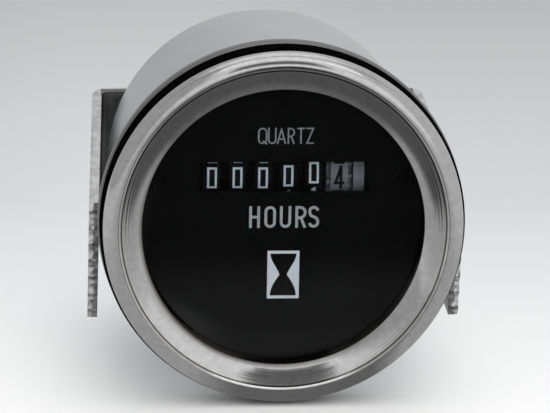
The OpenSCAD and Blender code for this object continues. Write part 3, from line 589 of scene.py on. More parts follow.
def run_tree(name, mesh, tree, values):
    """The plain mesh that a geometry tree makes of a mesh, as a new object at the origin."""
    holder = new_object(name, mesh)
    modifier = holder.modifiers.new("tree", "NODES")
    modifier.node_group = tree
    for socket in tree.interface.items_tree:
        if socket.item_type == "SOCKET" and socket.in_out == "INPUT" and socket.name in values:
            modifier[socket.identifier] = values[socket.name]
    graph = bpy.context.evaluated_depsgraph_get()
    result = bpy.data.meshes.new_from_object(holder.evaluated_get(graph))
    holder.modifiers.clear()
    holder.data = result
    result.name = name
    face_outwards(result)
    return holder


print("tree runner ready")

# %% [markdown]
# The short wall that runs in to the glass is given a dark brown colour, which also keeps its mirror image
# in the glass dark. A thin line of painted shade darkens the crease below the crest, and a brown stain lies
# on the lip at the lower left. Each is picked by its place.

# %% Stained bezel with painted shade in the crease
OPENING_R, INNER_R, LIP_START, LIP_END = 22.6, 22.7, 22.75, 23.35
WALL_Y, CREASE_R, CREASE_HALF, SLANT_START, SLANT_END = -7.0, 26.02, 0.12, -32.0, 5.0
tree = finishes["bezel_chrome"].node_tree
place = object_place(tree)
reach = from_axis(place)
inner = calc("LESS_THAN", reach, INNER_R * MM)
wall = product(inner, calc("GREATER_THAN", place[1], WALL_Y * MM))
# The crease line is painted shade.
from_crease = beside_line(reach, CREASE_R * MM)
crease = product(calc("LESS_THAN", from_crease, CREASE_HALF * MM), 0.9)
lip = ramp(reach, LIP_START * MM, LIP_END * MM, 1.0, 0.0, soft=False)
slant = calc("ADD", place[0], place[2])
low_left = ramp(slant, SLANT_START * MM, SLANT_END * MM, 0.9, 0.0, soft=False)
stain_and_shade = calc("MAXIMUM", crease, product(lip, low_left))
mark(calc("MAXIMUM", stain_and_shade, wall), (0.07, 0.055, 0.04, 1.0))
print("stained:", finishes["bezel_chrome"].name)

# %% [markdown]
# The round stretches of the profile are parts of ellipses. The cone is a line that swells a little, and it
# keeps a few fine rings from the spinning near its start.

# %% Profile curves
RING_R, RING_STEP, RING_HIGH, RING_REACH = 25.2, 0.5, 0.0035, 0.6


def arc(centre, radii, start, end, steps):
    """Points on a part of an ellipse, from one angle to another in degrees."""
    turns = [math.radians(start + (end - start) * i / steps) for i in range(steps + 1)]
    return [(centre[0] + radii[0] * math.cos(a), centre[1] + radii[1] * math.sin(a)) for a in turns]


def bowed(start, end, swell, steps):
    """The cone's points: a line that swells towards its end, with a few spinning rings near its start."""
    points = []
    for i in range(1, steps):
        t = i / steps
        r, y = (a + (b - a) * t for a, b in zip(start, end))
        faded = max(0.0, 1.0 - ((r - RING_R) / RING_REACH) ** 2)
        ring = RING_HIGH * faded * math.cos(2.0 * math.pi * (r - RING_R) / RING_STEP)
        points.append((r, y - swell * t * t * (1.0 - t) - ring))
    return points


print("curves ready")

# %% [markdown]
# The profile repeats the solid's sizes in millimetres, as radius and depth: the outer roll, the crease at
# the crest, the cone down to the lip, the wall to the glass, and the sleeve that enters the case.

# %% Bezel profile
CREST_R, WIDE_R = 26.5, 28.9
CREST_Y, WIDE_Y, CONE_Y, LENS_Y, REAR_Y, SLEEVE_Y = -8.7, -6.85, -7.3, -5.2, -6.0, 0.5
SLEEVE_R, SLEEVE_IN, WALL, LIP, EDGE = 25.1, 24.4, 0.7, 0.4, 0.15
ROLL_H, RIM_H, RIM_TURN, FOLD, CONE_SWELL = 1.85, 1.275, 41.8, 1.12, 0.5
roll, crease_edge = WIDE_R - CREST_R, -EDGE * 0.8
crease_floor = [(CREST_R - 0.18, CREST_Y + 0.08), (CREST_R - 0.28, CREST_Y + 0.14)]
crease_end = (CREST_R - 0.44, CREST_Y + 0.1)
cone_start, cone_end = (CREST_R - 0.42, CREST_Y + 0.22), (OPENING_R + 0.25, CONE_Y + 0.03)
profile = (
    arc((CREST_R, WIDE_Y), (roll, RIM_H), RIM_TURN, 0.0, 10)[:-1]
    + arc((CREST_R, WIDE_Y), (roll, ROLL_H), 0.0, -90.0, 40)
    + arc((CREST_R, CREST_Y + EDGE), (EDGE, EDGE), -90.0, -121.0, 4)[1:]
    + crease_floor
    + arc(crease_end, (crease_edge, crease_edge), -121.0, -108.0, 3)
    + bowed(cone_start, cone_end, CONE_SWELL, 48)
    + arc((OPENING_R + LIP, CONE_Y + LIP), (LIP, LIP), -116.0, -180.0, 10)
    + [(OPENING_R, LENS_Y), (OPENING_R + WALL, LENS_Y), (OPENING_R + WALL, CONE_Y + WALL),
       (SLEEVE_IN, CONE_Y + WALL), (SLEEVE_IN, SLEEVE_Y), (SLEEVE_R, SLEEVE_Y),
       (SLEEVE_R, CREST_Y + FOLD)]
    + arc((CREST_R, WIDE_Y), (roll - WALL, ROLL_H - WALL), -90.0, 0.0, 12)
    + [(WIDE_R - WALL, REAR_Y)]
)
profile.append(profile[0])
outline_mesh = bpy.data.meshes.new("bezel profile")
outline_mesh.from_pydata([(r * MM, y * MM, 0.0) for r, y in profile], [], [])
print("profile points:", len(profile))

# %% [markdown]
# The tree turns the profile in many small steps, and the result stands for the solid bezel.

# %% Bezel piece
STEPS_ROUND, BEZEL_ANGLE = 257, 28.0
bezel = run_tree(
    "bezel_spun", outline_mesh, turning,
    {"Points": len(profile), "Steps": STEPS_ROUND, "Finish": finishes["bezel_chrome"]},
)
smooth_up_to(bezel.data, BEZEL_ANGLE)
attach(bezel, "meter")
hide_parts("bezel")
print(bezel.name, "faces:", len(bezel.data.polygons))

# %% [markdown]
# ## Printed strokes
# The dial's words and the wheels' figures are flat ink. A font would be quick, but the real letters are
# narrow with one stroke width. So each letter is a few paths. The first helpers cut a path into short
# lengths, so that it can bend round a wheel later, and give it two edges with mitred corners.

# %% Stroke edges
LONGEST = 0.3


def fine(path):
    out = [path[0]]
    for a, b in zip(path, path[1:]):
        parts = max(1, math.ceil(math.dist(a, b) / LONGEST))
        for i in range(1, parts + 1):
            out.append((a[0] + (b[0] - a[0]) * i / parts, a[1] + (b[1] - a[1]) * i / parts))
    return out


def edges_of(path, width):
    """The left and right edge of a stroke, with mitred corners."""
    points = [Vector(p) for p in fine(path)]
    ring = (points[0] - points[-1]).length < 1e-6
    if ring:
        points.pop()
    count = len(points)
    left, right = [], []
    for i, p in enumerate(points):
        ahead = points[(i + 1) % count] - p if ring or i < count - 1 else p - points[i - 1]
        behind = p - points[i - 1] if ring or i > 0 else ahead
        ahead, behind = ahead.normalized(), behind.normalized()
        across = Vector((-ahead.y - behind.y, ahead.x + behind.x)).normalized()
        reach = width / 2 / max(0.4, across.dot(Vector((-ahead.y, ahead.x))))
        left.append(p + across * reach)
        right.append(p - across * reach)
    return left, right, ring


print("stroke helpers ready")

# %% [markdown]
# Between its two edges a stroke becomes a thin closed strip of ink. Later strokes of a letter lie a hair
# higher than the ones before, so no two share a face.

# %% Ink strips
INK, INK_STEP = 0.012, 0.0015


def add_strip(store, left, right, ring, low, high):
    """Adds the closed strip between two edges to a list of points and faces."""
    points, faces = store
    first = len(points)
    for a, b in zip(left, right):
        points += [(a.x, a.y, low), (a.x, a.y, high), (b.x, b.y, high), (b.x, b.y, low)]
    count = len(left)
    for i in range(count if ring else count - 1):
        a, b = first + 4 * i, first + 4 * ((i + 1) % count)
        faces += [(a + k, b + k, b + (k + 1) % 4, a + (k + 1) % 4) for k in range(4)]
    if not ring:
        for end in (first, first + 4 * (count - 1)):
            faces.append((end, end + 1, end + 2, end + 3))


def ink_strokes(store, paths, width, at):
    for level, path in enumerate(paths):
        shifted = [(at[0] + u, at[1] + v) for u, v in path]
        add_strip(store, *edges_of(shifted, width), 0.0, INK + level * INK_STEP)


def ink_mesh(name, store):
    mesh = bpy.data.meshes.new(name)
    mesh.from_pydata([[c * MM for c in point] for point in store[0]], [], store[1])
    return mesh


print("ink helpers ready")

# %% [markdown]
# Each letter is drawn in its own width and height, along the middle of its strokes. Straight letters are
# corners only, and round ones use the arc from the bezel. The slope of the S is a cubic curve between its
# two bowls.

# %% Letters
CURVE_STEPS = 12


def slope(start, end, reach):
    """The inner points of a cubic curve that leaves downwards and arrives downwards."""
    pulls = (start, (start[0], start[1] - reach), (end[0], end[1] + reach), end)
    points = []
    for i in range(1, CURVE_STEPS):
        t = i / CURVE_STEPS
        shares = ((1 - t) ** 3, 3 * t * (1 - t) ** 2, 3 * t * t * (1 - t), t ** 3)
        points.append(tuple(sum(k * p[axis] for k, p in zip(shares, pulls)) for axis in (0, 1)))
    return points


def letter_paths(letter, w, h, s):
    """The paths of a letter of a width, a height and a stroke."""
    left, right, low, top = s / 2, w - s / 2, s / 2, h - s / 2
    mid, waist, bar = h * 0.5, h * 0.46, h * 0.3
    r = (right - left) / 2
    bowl = (top - waist) / 2
    upper, lower = (w / 2, top - r), (w / 2, low + r)
    base = arc(lower, (r, r), 180, 360, 14)
    oval = arc(upper, (r, r), 0, 180, 14) + base
    oval.append(oval[0])
    belly = arc((right - bowl, top - bowl), (bowl, bowl), 90, -90, 12)
    spine = slope((left, upper[1]), (right, lower[1]), (upper[1] - lower[1]) * 0.55 + r * 0.5)
    foot = left * 0.8
    shapes = {
        "H": [[(left, 0), (left, h)], [(right, 0), (right, h)], [(left, mid), (right, mid)]],
        "O": [oval],
        "U": [[(left, h)] + base + [(right, h)]],
        "R": [[(left, 0), (left, h)], [(left, top)] + belly + [(left, waist)],
              [(w / 2, waist), (right, 0)]],
        "S": [arc(upper, (r, r), 10, 180, 12) + spine + arc(lower, (r, r), 0, -170, 12)],
        "Q": [oval, [(w * 0.55, h * 0.2), (w, -0.02 * h)]],
        "A": [[(foot, 0), (w / 2, h - s * 0.9), (w - foot, 0)], [(w * 0.22, bar), (w * 0.78, bar)]],
        "T": [[(0, top), (w, top)], [(w / 2, 0), (w / 2, top)]],
        "Z": [[(0, top), (right, top), (left, low), (w, low)]],
    }
    return shapes[letter]


print("letters ready")

# %% [markdown]
# The dial carries two words and the hourglass sign. The print is one thin mesh for each word, laid on the
# dial's front face, with an ink finish of its own brightness.

# %% Dial print
DIAL_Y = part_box("dial_plate")[0].y
DIAL_X = 0.45
UPRIGHT = Matrix.Rotation(math.radians(90.0), 4, "X")


def printed(name, store, colour):
    """Lays ink on the dial's front face as one piece."""
    mesh = ink_mesh(name, store)
    mesh.transform(Matrix.Translation((0.0, DIAL_Y, 0.0)) @ UPRIGHT)
    face_outwards(mesh)
    mesh.materials.append(colour)
    piece = new_object(name, mesh)
    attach(piece, "meter")
    print(name, "faces:", len(mesh.polygons))


def ink(name, first, second, roughness=(0.5, 0.6)):
    return finish(name, (first, second), roughness, 900.0, gloss=0.1)


print("dial print ready")

# %% [markdown]
# Each letter of a word has its start, from the dial's middle line, and its width. Both words share the
# drawing and differ in height, stroke, base line and ink.

# %% Dial words
hours = ((-5.64, 1.74), (-3.18, 1.85), (-0.69, 1.82), (1.8, 1.8), (3.89, 1.76))
quartz = ((-4.42, 1.48), (-2.82, 1.35), (-1.4, 1.47), (0.33, 1.17), (1.86, 1.22), (3.33, 1.22))
bold_ink = ink("grey dial ink", (0.44, 0.48, 0.5), (0.5, 0.54, 0.56))
thin_ink = ink("thin dial ink", (0.3, 0.33, 0.345), (0.36, 0.39, 0.405))
words = {
    "hours_word": ("HOURS", hours, 3.6, 0.44, -1.17, bold_ink),
    "quartz_word": ("QUARTZ", quartz, 2.65, 0.23, 12.7, thin_ink),
}
for name, (word, spans, height, stroke, base, colour) in words.items():
    store = ([], [])
    for letter, (start, width) in zip(word, spans):
        ink_strokes(store, letter_paths(letter, width, height, stroke), stroke, (DIAL_X + start, base))
    printed(name, store, colour)

# %% [markdown]
# The hourglass sign is a pale rectangle with a dark glass left open in it. Its two side fields are strips
# between the frame's edge and the curve of the glass, and two bars close the top and the bottom. The upper
# half of the glass is pinched towards the waist, and the lower half is round.

# %% Hourglass sign
SIGN_Z, SIGN_W, SIGN_H, SIGN_BAR, WAIST = -8.97, 5.16, 7.95, 0.48, 0.6
SIGN_STEPS = 24
pale_ink = ink("pale dial ink", (0.82, 0.88, 0.92), (0.86, 0.92, 0.96))
inner = SIGN_H / 2 - SIGN_BAR
bulge = SIGN_W / 2 - SIGN_BAR - WAIST
store = ([], [])
for side in (-1, 1):
    outer_edge, glass_edge = [], []
    for i in range(SIGN_STEPS + 1):
        height = inner * (2 * i / SIGN_STEPS - 1)
        share = 1.0 - abs(height) / inner
        round_part = math.cos(share * math.pi / 2)
        pinched = 0.5 * round_part + 0.25 * (1.0 + math.cos(share * math.pi))
        half = WAIST + bulge * (pinched if height > 0.0 else round_part)
        outer_edge.append(Vector((DIAL_X + side * SIGN_W / 2, SIGN_Z + height)))
        glass_edge.append(Vector((DIAL_X + side * half, SIGN_Z + height)))
    add_strip(store, outer_edge, glass_edge, False, 0.0, INK)
for side in (-1, 1):
    bar = SIGN_Z + side * (SIGN_H - SIGN_BAR) / 2
    ends = [(DIAL_X - SIGN_W / 2, bar), (DIAL_X + SIGN_W / 2, bar)]
    add_strip(store, *edges_of(ends, SIGN_BAR), 0.0, INK + INK_STEP)
printed("hourglass_sign", store, pale_ink)

# %% [markdown]
# ## The figures on the wheels
# Each number wheel has ten figures round its band. They are drawn flat on a strip, one step apart, and a
# geometry tree bends the strip round the wheel: the height along the strip becomes an angle. One tree does
# all six wheels, each with its own place and its own reading.

# %% Figures
def figure_paths(figure, w, h, s):
    """The paths of a square-cut figure of a width, a height and a stroke."""
    left, right, low, top, mid = s / 2, w - s / 2, s / 2, h - s / 2, h / 2
    box = [(left, low), (right, low), (right, top), (left, top), (left, low)]
    shapes = [
        [box],
        [[(w * 0.6, 0), (w * 0.6, h)], [(w * 0.6, top), (w * 0.3, top - h * 0.1)]],
        [[(left, top - h * 0.16), (left, top), (right, top), (right, h * 0.56), (left, h * 0.3),
          (left, low), (w, low)]],
        [[(0, top), (right, top), (right, low), (0, low)], [(w * 0.3, mid), (right, mid)]],
        [[(w * 0.66, 0), (w * 0.66, h)], [(w * 0.66, top), (left, h * 0.27), (w, h * 0.27)]],
        [[(w, top), (left, top), (left, mid), (right, mid), (right, low), (0, low)]],
        [[(w * 0.9, top), (left, top), (left, low), (right, low), (right, mid), (left, mid)]],
        [[(0, top), (right, top), (w * 0.36, 0)]],
        [box, [(left, mid), (right, mid)]],
        [[(w * 0.1, low), (right, low), (right, top), (left, top), (left, mid), (right, mid)]],
    ]
    return shapes[figure]


print("figures ready")

# %% [markdown]
# In the tree, the strip's height divided by the wheel's radius is the angle, and its thickness adds to the
# radius. The result moves to the wheel's axis.

# %% Wrapping tree
wrapping, g_in, g_out = new_group(
    "figures round a wheel", "GeometryNodeTree",
    {"Strip": "Geometry", "Wheel Radius": "Float", "Axis": "Vector", "Finish": "Material"},
    {"Figures": "Geometry"},
)
spot = split(point_place(wrapping))
turn = calc("DIVIDE", spot[1], g_in["Wheel Radius"])
reach = calc("ADD", spot[2], g_in["Wheel Radius"])
bent = join(spot[0], product(calc("COSINE", turn), reach, -1.0), product(calc("SINE", turn), reach))
around = add_node(wrapping, "ShaderNodeVectorMath", {0: bent, 1: g_in["Axis"]}, operation="ADD")
placed = add_node(
    wrapping, "GeometryNodeSetPosition", {"Geometry": g_in["Strip"], "Position": around.outputs[0]}
)
end_tree(placed, g_in, g_out)
print("tree:", wrapping.name)

# %% [markdown]
# The five black wheels show noughts, and the pale wheel shows a dark four. Each wheel stopped a little
# off the line, as a counter does between two steps, so each has its own small lift in degrees.

# %% Wheel figures
DRUM_R = 6.7
PITCH = DRUM_R * math.radians(36.0)
BLACK_FIGURE, PALE_FIGURE = (1.58, 3.5, 0.35), (1.7, 3.95, 0.48)
white_ink = ink("white wheel ink", (0.6, 0.68, 0.76), (0.68, 0.77, 0.84), (0.4, 0.5))
black_ink = ink("black wheel ink", grey(0.004), grey(0.008), (0.4, 0.5))
wheels = {
    "ten_thousands": (0, -0.95), "thousands": (0, -0.95), "hundreds": (0, -1.3),
    "tens": (0, 1.4), "units": (0, 5.9), "tenths": (4, -0.9),
}
for wheel, (shown, lift) in wheels.items():
    pale = wheel == "tenths"
    wide, tall, stroke = PALE_FIGURE if pale else BLACK_FIGURE
    store = ([], [])
    for figure in range(10):
        steps_down = (figure - shown + 5) % 10 - 5
        centre = DRUM_R * math.radians(lift) - steps_down * PITCH
        ink_strokes(store, figure_paths(figure, wide, tall, stroke), stroke, (-wide / 2, centre - tall / 2))
    piece = run_tree(
        "figures_" + wheel, ink_mesh("strip", store), wrapping,
        {"Wheel Radius": DRUM_R * MM, "Axis": axes["wheel_" + wheel],
         "Finish": black_ink if pale else white_ink},
    )
    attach(piece, "wheel_" + wheel)
    print(piece.name, "faces:", len(piece.data.polygons))

# %% [markdown]
# ## Threads on the studs
# The two studs are threaded rod, which follows a rule too: the radius rises and falls once per pitch, and
# the wave moves along by one pitch in each turn. A tree bends a fine cylinder that way, and two copies
# stand for the plain studs.

# %% Thread wave
TAPER_LENGTH, TAPER_SLOPE = 0.5, 0.9
threading, g_in, g_out = new_group(
    "threaded rod", "GeometryNodeTree",
    {"Places": "Geometry", "Radius": "Float", "Length": "Float", "Pitch": "Float", "Depth": "Float",
     "Start": "Float", "Rings": "Int", "Finish": "Material"},
    {"Rods": "Geometry"},
)
spot = split(point_place(threading))
angle = calc("ARCTAN2", spot[1], spot[0])
turn = calc("DIVIDE", angle, 2.0 * math.pi)
pitches = calc("DIVIDE", spot[2], g_in["Pitch"])
wave = calc("PINGPONG", calc("ADD", pitches, turn), 0.5)
groove = product(wave, 2.0, g_in["Depth"])
half = calc("MULTIPLY", g_in["Length"], 0.5)
to_end = calc("SUBTRACT", half, calc("ABSOLUTE", spot[2]))
past = calc("MAXIMUM", calc("SUBTRACT", TAPER_LENGTH * MM, to_end), 0.0)
cut = calc("ADD", groove, calc("MULTIPLY", past, TAPER_SLOPE))
share = calc("SUBTRACT", 1.0, calc("DIVIDE", cut, g_in["Radius"]))
print("tree:", threading.name, "with its wave")

# %% [markdown]
# The wave gives each point the share of the radius that is left. The rod is built upright, so its height
# becomes the depth behind the dial, and its sides turn with it.

# %% Threaded rods
rod = add_node(
    threading, "GeometryNodeMeshCylinder",
    {"Vertices": 32, "Side Segments": g_in["Rings"], "Radius": g_in["Radius"],
     "Depth": g_in["Length"]},
    fill_type="NGON",
)
depth = calc("ADD", calc("ADD", spot[2], half), g_in["Start"])
cut_rod = join(product(spot[0], share), depth, product(spot[1], -1.0, share))
placed = add_node(
    threading, "GeometryNodeSetPosition", {"Geometry": rod.outputs["Mesh"], "Position": cut_rod}
)
copies = add_node(
    threading, "GeometryNodeInstanceOnPoints", {"Points": g_in["Places"], "Instance": placed.outputs[0]}
)
end_tree(copies, g_in, g_out)
print("rods in:", threading.name)

# %% [markdown]
# The solid studs give the length, the start and the spacing. The thread's crests stay just inside them.

# %% Stud pieces
STUD_R, THREAD_R, THREAD_PITCH, THREAD_DEPTH = 2.0, 1.99, 0.7, 0.3
RINGS_PER_PITCH, THREAD_ANGLE = 8, 50.0
stud_low, stud_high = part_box("mounting_studs")
STUD_X = stud_high.x - STUD_R * MM
places = bpy.data.meshes.new("stud places")
places.from_pydata([(-STUD_X, 0.0, 0.0), (STUD_X, 0.0, 0.0)], [], [])
length = stud_high.y - stud_low.y
studs = run_tree(
    "threaded_studs", places, threading,
    {"Radius": THREAD_R * MM, "Length": length, "Pitch": THREAD_PITCH * MM, "Depth": THREAD_DEPTH * MM,
     "Start": stud_low.y, "Rings": round(length / (THREAD_PITCH * MM) * RINGS_PER_PITCH),
     "Finish": finishes["zinc_plate"]},
)
smooth_up_to(studs.data, THREAD_ANGLE)
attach(studs, "meter")
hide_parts("mounting_studs")
print(studs.name, "faces:", len(studs.data.polygons))

# %% [markdown]
# ## Chamfered nuts
# A real nut's corners are turned off at both ends, which leaves an arc on each flat. One nut is built
# from rings: at each angle the outer ring follows the hexagon, and it starts lower where the corner is
# further out. A tree then copies the nut to both studs.

# %% Nut shape
NUT_STEPS, NUT_SEAT, NUT_CHAMFER = 72, 0.97, math.radians(30.0)


def nut_mesh(across, height, bore):
    """A hexagon nut in millimetres, with its corners turned off at both ends."""
    seat = across / 2 * NUT_SEAT
    rows = [[] for _ in range(6)]
    for i in range(NUT_STEPS):
        a = 2 * math.pi * i / NUT_STEPS
        side = across / 2 / math.cos((a % (math.pi / 3)) - math.pi / 6)
        drop = (side - seat) * math.tan(NUT_CHAMFER)
        half = ((bore, 0.0), (seat, 0.0), (side, drop))
        ring = half + tuple((r, height - y) for r, y in reversed(half))
        for row, (r, y) in zip(rows, ring):
            row.append((r * math.cos(a) * MM, y * MM, r * math.sin(a) * MM))
    faces = []
    for k in range(6):
        below, above = k * NUT_STEPS, ((k + 1) % 6) * NUT_STEPS
        for i in range(NUT_STEPS):
            j = (i + 1) % NUT_STEPS
            faces.append((below + i, below + j, above + j, above + i))
    mesh = bpy.data.meshes.new("nut")
    mesh.from_pydata([point for row in rows for point in row], [], faces)
    return mesh


print("nut shape ready")

# %% [markdown]
# The pair is a line of two points, one on each stud, with the nut on both.

# %% Pair tree
pairing, g_in, g_out = new_group(
    "pair on the studs", "GeometryNodeTree",
    {"Shape": "Geometry", "Spacing": "Float", "Seat": "Float", "Finish": "Material"}, {"Pair": "Geometry"},
)
start = join(calc("MULTIPLY", g_in["Spacing"], -0.5), g_in["Seat"])
step = join(g_in["Spacing"])
spots = add_node(pairing, "GeometryNodeMeshLine", {"Count": 2, "Start Location": start, "Offset": step})
copies = add_node(
    pairing, "GeometryNodeInstanceOnPoints", {"Points": spots.outputs[0], "Instance": g_in["Shape"]}
)
end_tree(copies, g_in, g_out)
print("tree:", pairing.name)

# %% [markdown]
# One pair fixes the studs to the back of the case, and the other pulls the bracket tight. Each takes its
# height and its seat from the solid pair that it stands for.

# %% Nut pieces
NUT_ACROSS, NUT_BORE, NUT_ANGLE = 7.0, 2.01, 20.0
for name in ("case_nuts", "clamp_nuts"):
    low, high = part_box(name)
    pair = run_tree(
        name + "_chamfered", nut_mesh(NUT_ACROSS, (high.y - low.y) / MM, NUT_BORE), pairing,
        {"Spacing": 2.0 * STUD_X, "Seat": low.y, "Finish": finishes["zinc_plate"]},
    )
    smooth_up_to(pair.data, NUT_ANGLE)
    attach(pair, "meter")
    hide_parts(name)
    print(pair.name, "faces:", len(pair.data.polygons))

# %% [markdown]
# ## The table and the light
# The meter stands on a pale sheet that fades from white in front to grey behind. A colour ramp over the
# depth gives the fade, and the far sides are a little darker, a painted edge of a lamp's pool of light.

# %% Pale sheet
FLOOR_Z, FLOOR_HALF = cad_box[0].z - 0.00005, 3.0
FADE_START, FADE_END, VIEW_SLANT = -0.02, 0.34, 0.093


def square(name, half, height):
    """A flat square with a material of its own, and that material's tree."""
    mesh = bpy.data.meshes.new(name)
    corners = [(-half, -half, height), (half, -half, height), (half, half, height), (-half, half, height)]
    mesh.from_pydata(corners, [], [(0, 1, 2, 3)])
    made = new_object(name, mesh)
    material = bpy.data.materials.new(name)
    material.use_nodes = True
    mesh.materials.append(material)
    return made, material.node_tree


floor, tree = square("floor", FLOOR_HALF, FLOOR_Z)
spot = object_place(tree)
depth = ramp(spot[1], FADE_START, FADE_END, soft=False)
fade = add_node(tree, "ShaderNodeValToRGB", {"Fac": depth})
stops = fade.color_ramp.elements
stops[0].position, stops[0].color = 0.0, (1.0, 1.0, 1.0, 1.0)
stops[1].position, stops[1].color = 1.0, (0.455, 0.466, 0.482, 1.0)
stops.new(0.4).color = (0.67, 0.682, 0.694, 1.0)
slant = calc("MULTIPLY", spot[1], VIEW_SLANT)
far_side = beside_line(spot[0], slant)
# Painted light: the far sides darken like the edge of a lamp's pool.
painted_pool = ramp(far_side, 0.09, 0.3, 1.0, 0.86)
shade = add_node(
    tree, "ShaderNodeMix", {0: 1.0, 6: fade.outputs[0], 7: painted_pool}, data_type="RGBA", blend_type="MULTIPLY"
).outputs[2]
print(floor.name, "at", round(FLOOR_Z / MM, 2), "mm")

# %% [markdown]
# Under the meter the sheet is a plain matt surface that takes the shadow. To the sides the camera sees more
# and more of a glow in the sheet's own tone instead, which never dims: painted light that fills in the
# shadow and keeps it short.

# %% Short shadow, with painted light to the sides
SHADOW_X, SHADOW_IN, SHADOW_OUT = -0.003, 0.016, 0.053
shader = tree.nodes["Principled BSDF"]
shader.inputs["Roughness"].default_value = 0.9
shader.inputs["Specular IOR Level"].default_value = 0.1
tree.links.new(shade, shader.inputs["Base Color"])
glow = add_node(tree, "ShaderNodeEmission", {"Color": shade, "Strength": 1.0})
beside = beside_line(spot[0], SHADOW_X)
# The camera sees a painted glow to the sides, which fills in the shadow.
painted_fill = ramp(beside, SHADOW_IN, SHADOW_OUT, 0.0, 0.95)
seen = add_node(tree, "ShaderNodeLightPath").outputs["Is Camera Ray"]
blend_surfaces(product(seen, painted_fill), shader, glow)
print("shadow fades from", SHADOW_IN / MM, "to", SHADOW_OUT / MM, "mm")

# %% [markdown]
# ## The light tent
# The light is a soft tent, painted on the world by direction. A polished bezel shows whatever surrounds it,
# so the tent needs real parts. First come its walls: darker to the left, dark at the left of the front, and
# brighter overhead.

# %% Tent walls
LEFT_TONE, RIGHT_TONE, FRONT_LEFT, FRONT_RIGHT, UPPER_LIFT, ROOF_TONE = 0.37, 0.52, 0.34, 0.78, 1.12, 0.92
world = bpy.data.worlds.new("light tent")
bpy.context.scene.world = world
world.use_nodes = True
tree = world.node_tree
ray = add_node(tree, "ShaderNodeTexCoord").outputs["Generated"]
east, north, height = split(ray)
wall = ramp(east, -0.5, 0.2, LEFT_TONE, RIGHT_TONE)
front_wall = ramp(east, -0.42, -0.08, FRONT_LEFT, FRONT_RIGHT)
front = ramp(north, -0.9, -0.7, front_wall, wall)
roof = ramp(height, 0.8, 0.98, calc("MULTIPLY", front, UPPER_LIFT), ROOF_TONE)
print("walls of:", world.name)

# %% [markdown]
# One softbox hangs above the front, with a brighter tube in it and a dark seam behind it. Each is a band
# round a direction, so what counts is how far a ray passes beside that line.

# %% Softbox and seam
BOX_EAST, BOX_NORTH, TUBE_NORTH, SEAM_NORTH = 0.08, -0.6, -0.67, -0.335
BOX_TONE, TUBE_TONE, SEAM_DARK = 0.84, 1.5, 0.55
softbox = product(
    ramp(beside_line(east, BOX_EAST), 0.39, 0.41, 1.0, 0.0),
    ramp(beside_line(north, BOX_NORTH), 0.19, 0.21, 1.0, 0.0), ramp(height, 0.48, 0.52),
)
tube = ramp(beside_line(north, TUBE_NORTH), 0.015, 0.04, TUBE_TONE, BOX_TONE)
lit_roof = ramp(softbox, 0.0, 1.0, roof, tube, soft=False)
seam = product(
    ramp(beside_line(north, SEAM_NORTH), 0.03, 0.07, SEAM_DARK, 0.0), ramp(height, 0.5, 0.8)
)
print("softbox at", (BOX_EAST, BOX_NORTH))

# %% [markdown]
# The camera looks in through a dark slit with a bright edge on both sides. The cloth hangs loosely, so a
# little noise makes the edges ragged. The slit gives the bezel the dark patch at its bottom.

# %% Camera slit
SLIT_EAST, RAGGED, SLIT_DARK, EDGE_TONE = 0.053, 0.16, 0.85, 0.9
noise = add_node(tree, "ShaderNodeTexNoise", {"Scale": 7.0, "Detail": 3.0}).outputs[0]
ragged = calc("MULTIPLY", calc("SUBTRACT", noise, 0.5), RAGGED)
sideways = beside_line(calc("ADD", east, ragged), SLIT_EAST)
facing = ramp(north, -0.5, -0.3, 1.0, 0.0)
slit = product(
    ramp(sideways, 0.15, 0.18, SLIT_DARK, 0.0), ramp(height, 0.18, 0.26),
    ramp(height, 0.47, 0.53, 1.0, 0.0), facing,
)
edges = product(
    ramp(sideways, 0.17, 0.19), ramp(sideways, 0.25, 0.28, 1.0, 0.0),
    ramp(height, 0.24, 0.3), ramp(height, 0.5, 0.56, 1.0, 0.0), facing,
)
open_slit, open_seam = (calc("SUBTRACT", 1.0, mask) for mask in (slit, seam))
dimmed = product(lit_roof, open_slit, open_seam)
mirrored = calc("MAXIMUM", dimmed, calc("MULTIPLY", edges, EDGE_TONE))
print("slit at", SLIT_EAST)

# %% [markdown]
# Only mirror rays see the tent in this detail, straight or through the glass. Everything matt gets an even
# glow that is a little stronger from the right, so that a change to the tent doesn't change the exposure.
# The camera itself sees one plain tone.

# %% Tent for mirrors, glow for the rest
CAMERA_TONE, LEFT_GLOW, RIGHT_GLOW = 0.8, 0.88, 1.28
path = add_node(tree, "ShaderNodeLightPath").outputs
shiny = calc("MAXIMUM", path["Is Glossy Ray"], path["Is Transmission Ray"])
direct = calc("LESS_THAN", path["Diffuse Depth"], 0.5)
glow = ramp(east, -1.0, 1.0, LEFT_GLOW, RIGHT_GLOW)
lit = ramp(product(shiny, direct), 0.0, 1.0, glow, mirrored, soft=False)
tone = ramp(path["Is Camera Ray"], 0.0, 1.0, lit, CAMERA_TONE, soft=False)
tree.links.new(tone, tree.nodes["Background"].inputs["Color"])
print("world:", world.name)

# %% [markdown]
# Photographers lay cards in front of polished work to give it dark lines. Ours lies on the table, grey at
# the sides with a black strip that runs towards the camera. The strip is narrow and grey by the meter, and
# it gets wider and darker on the way.

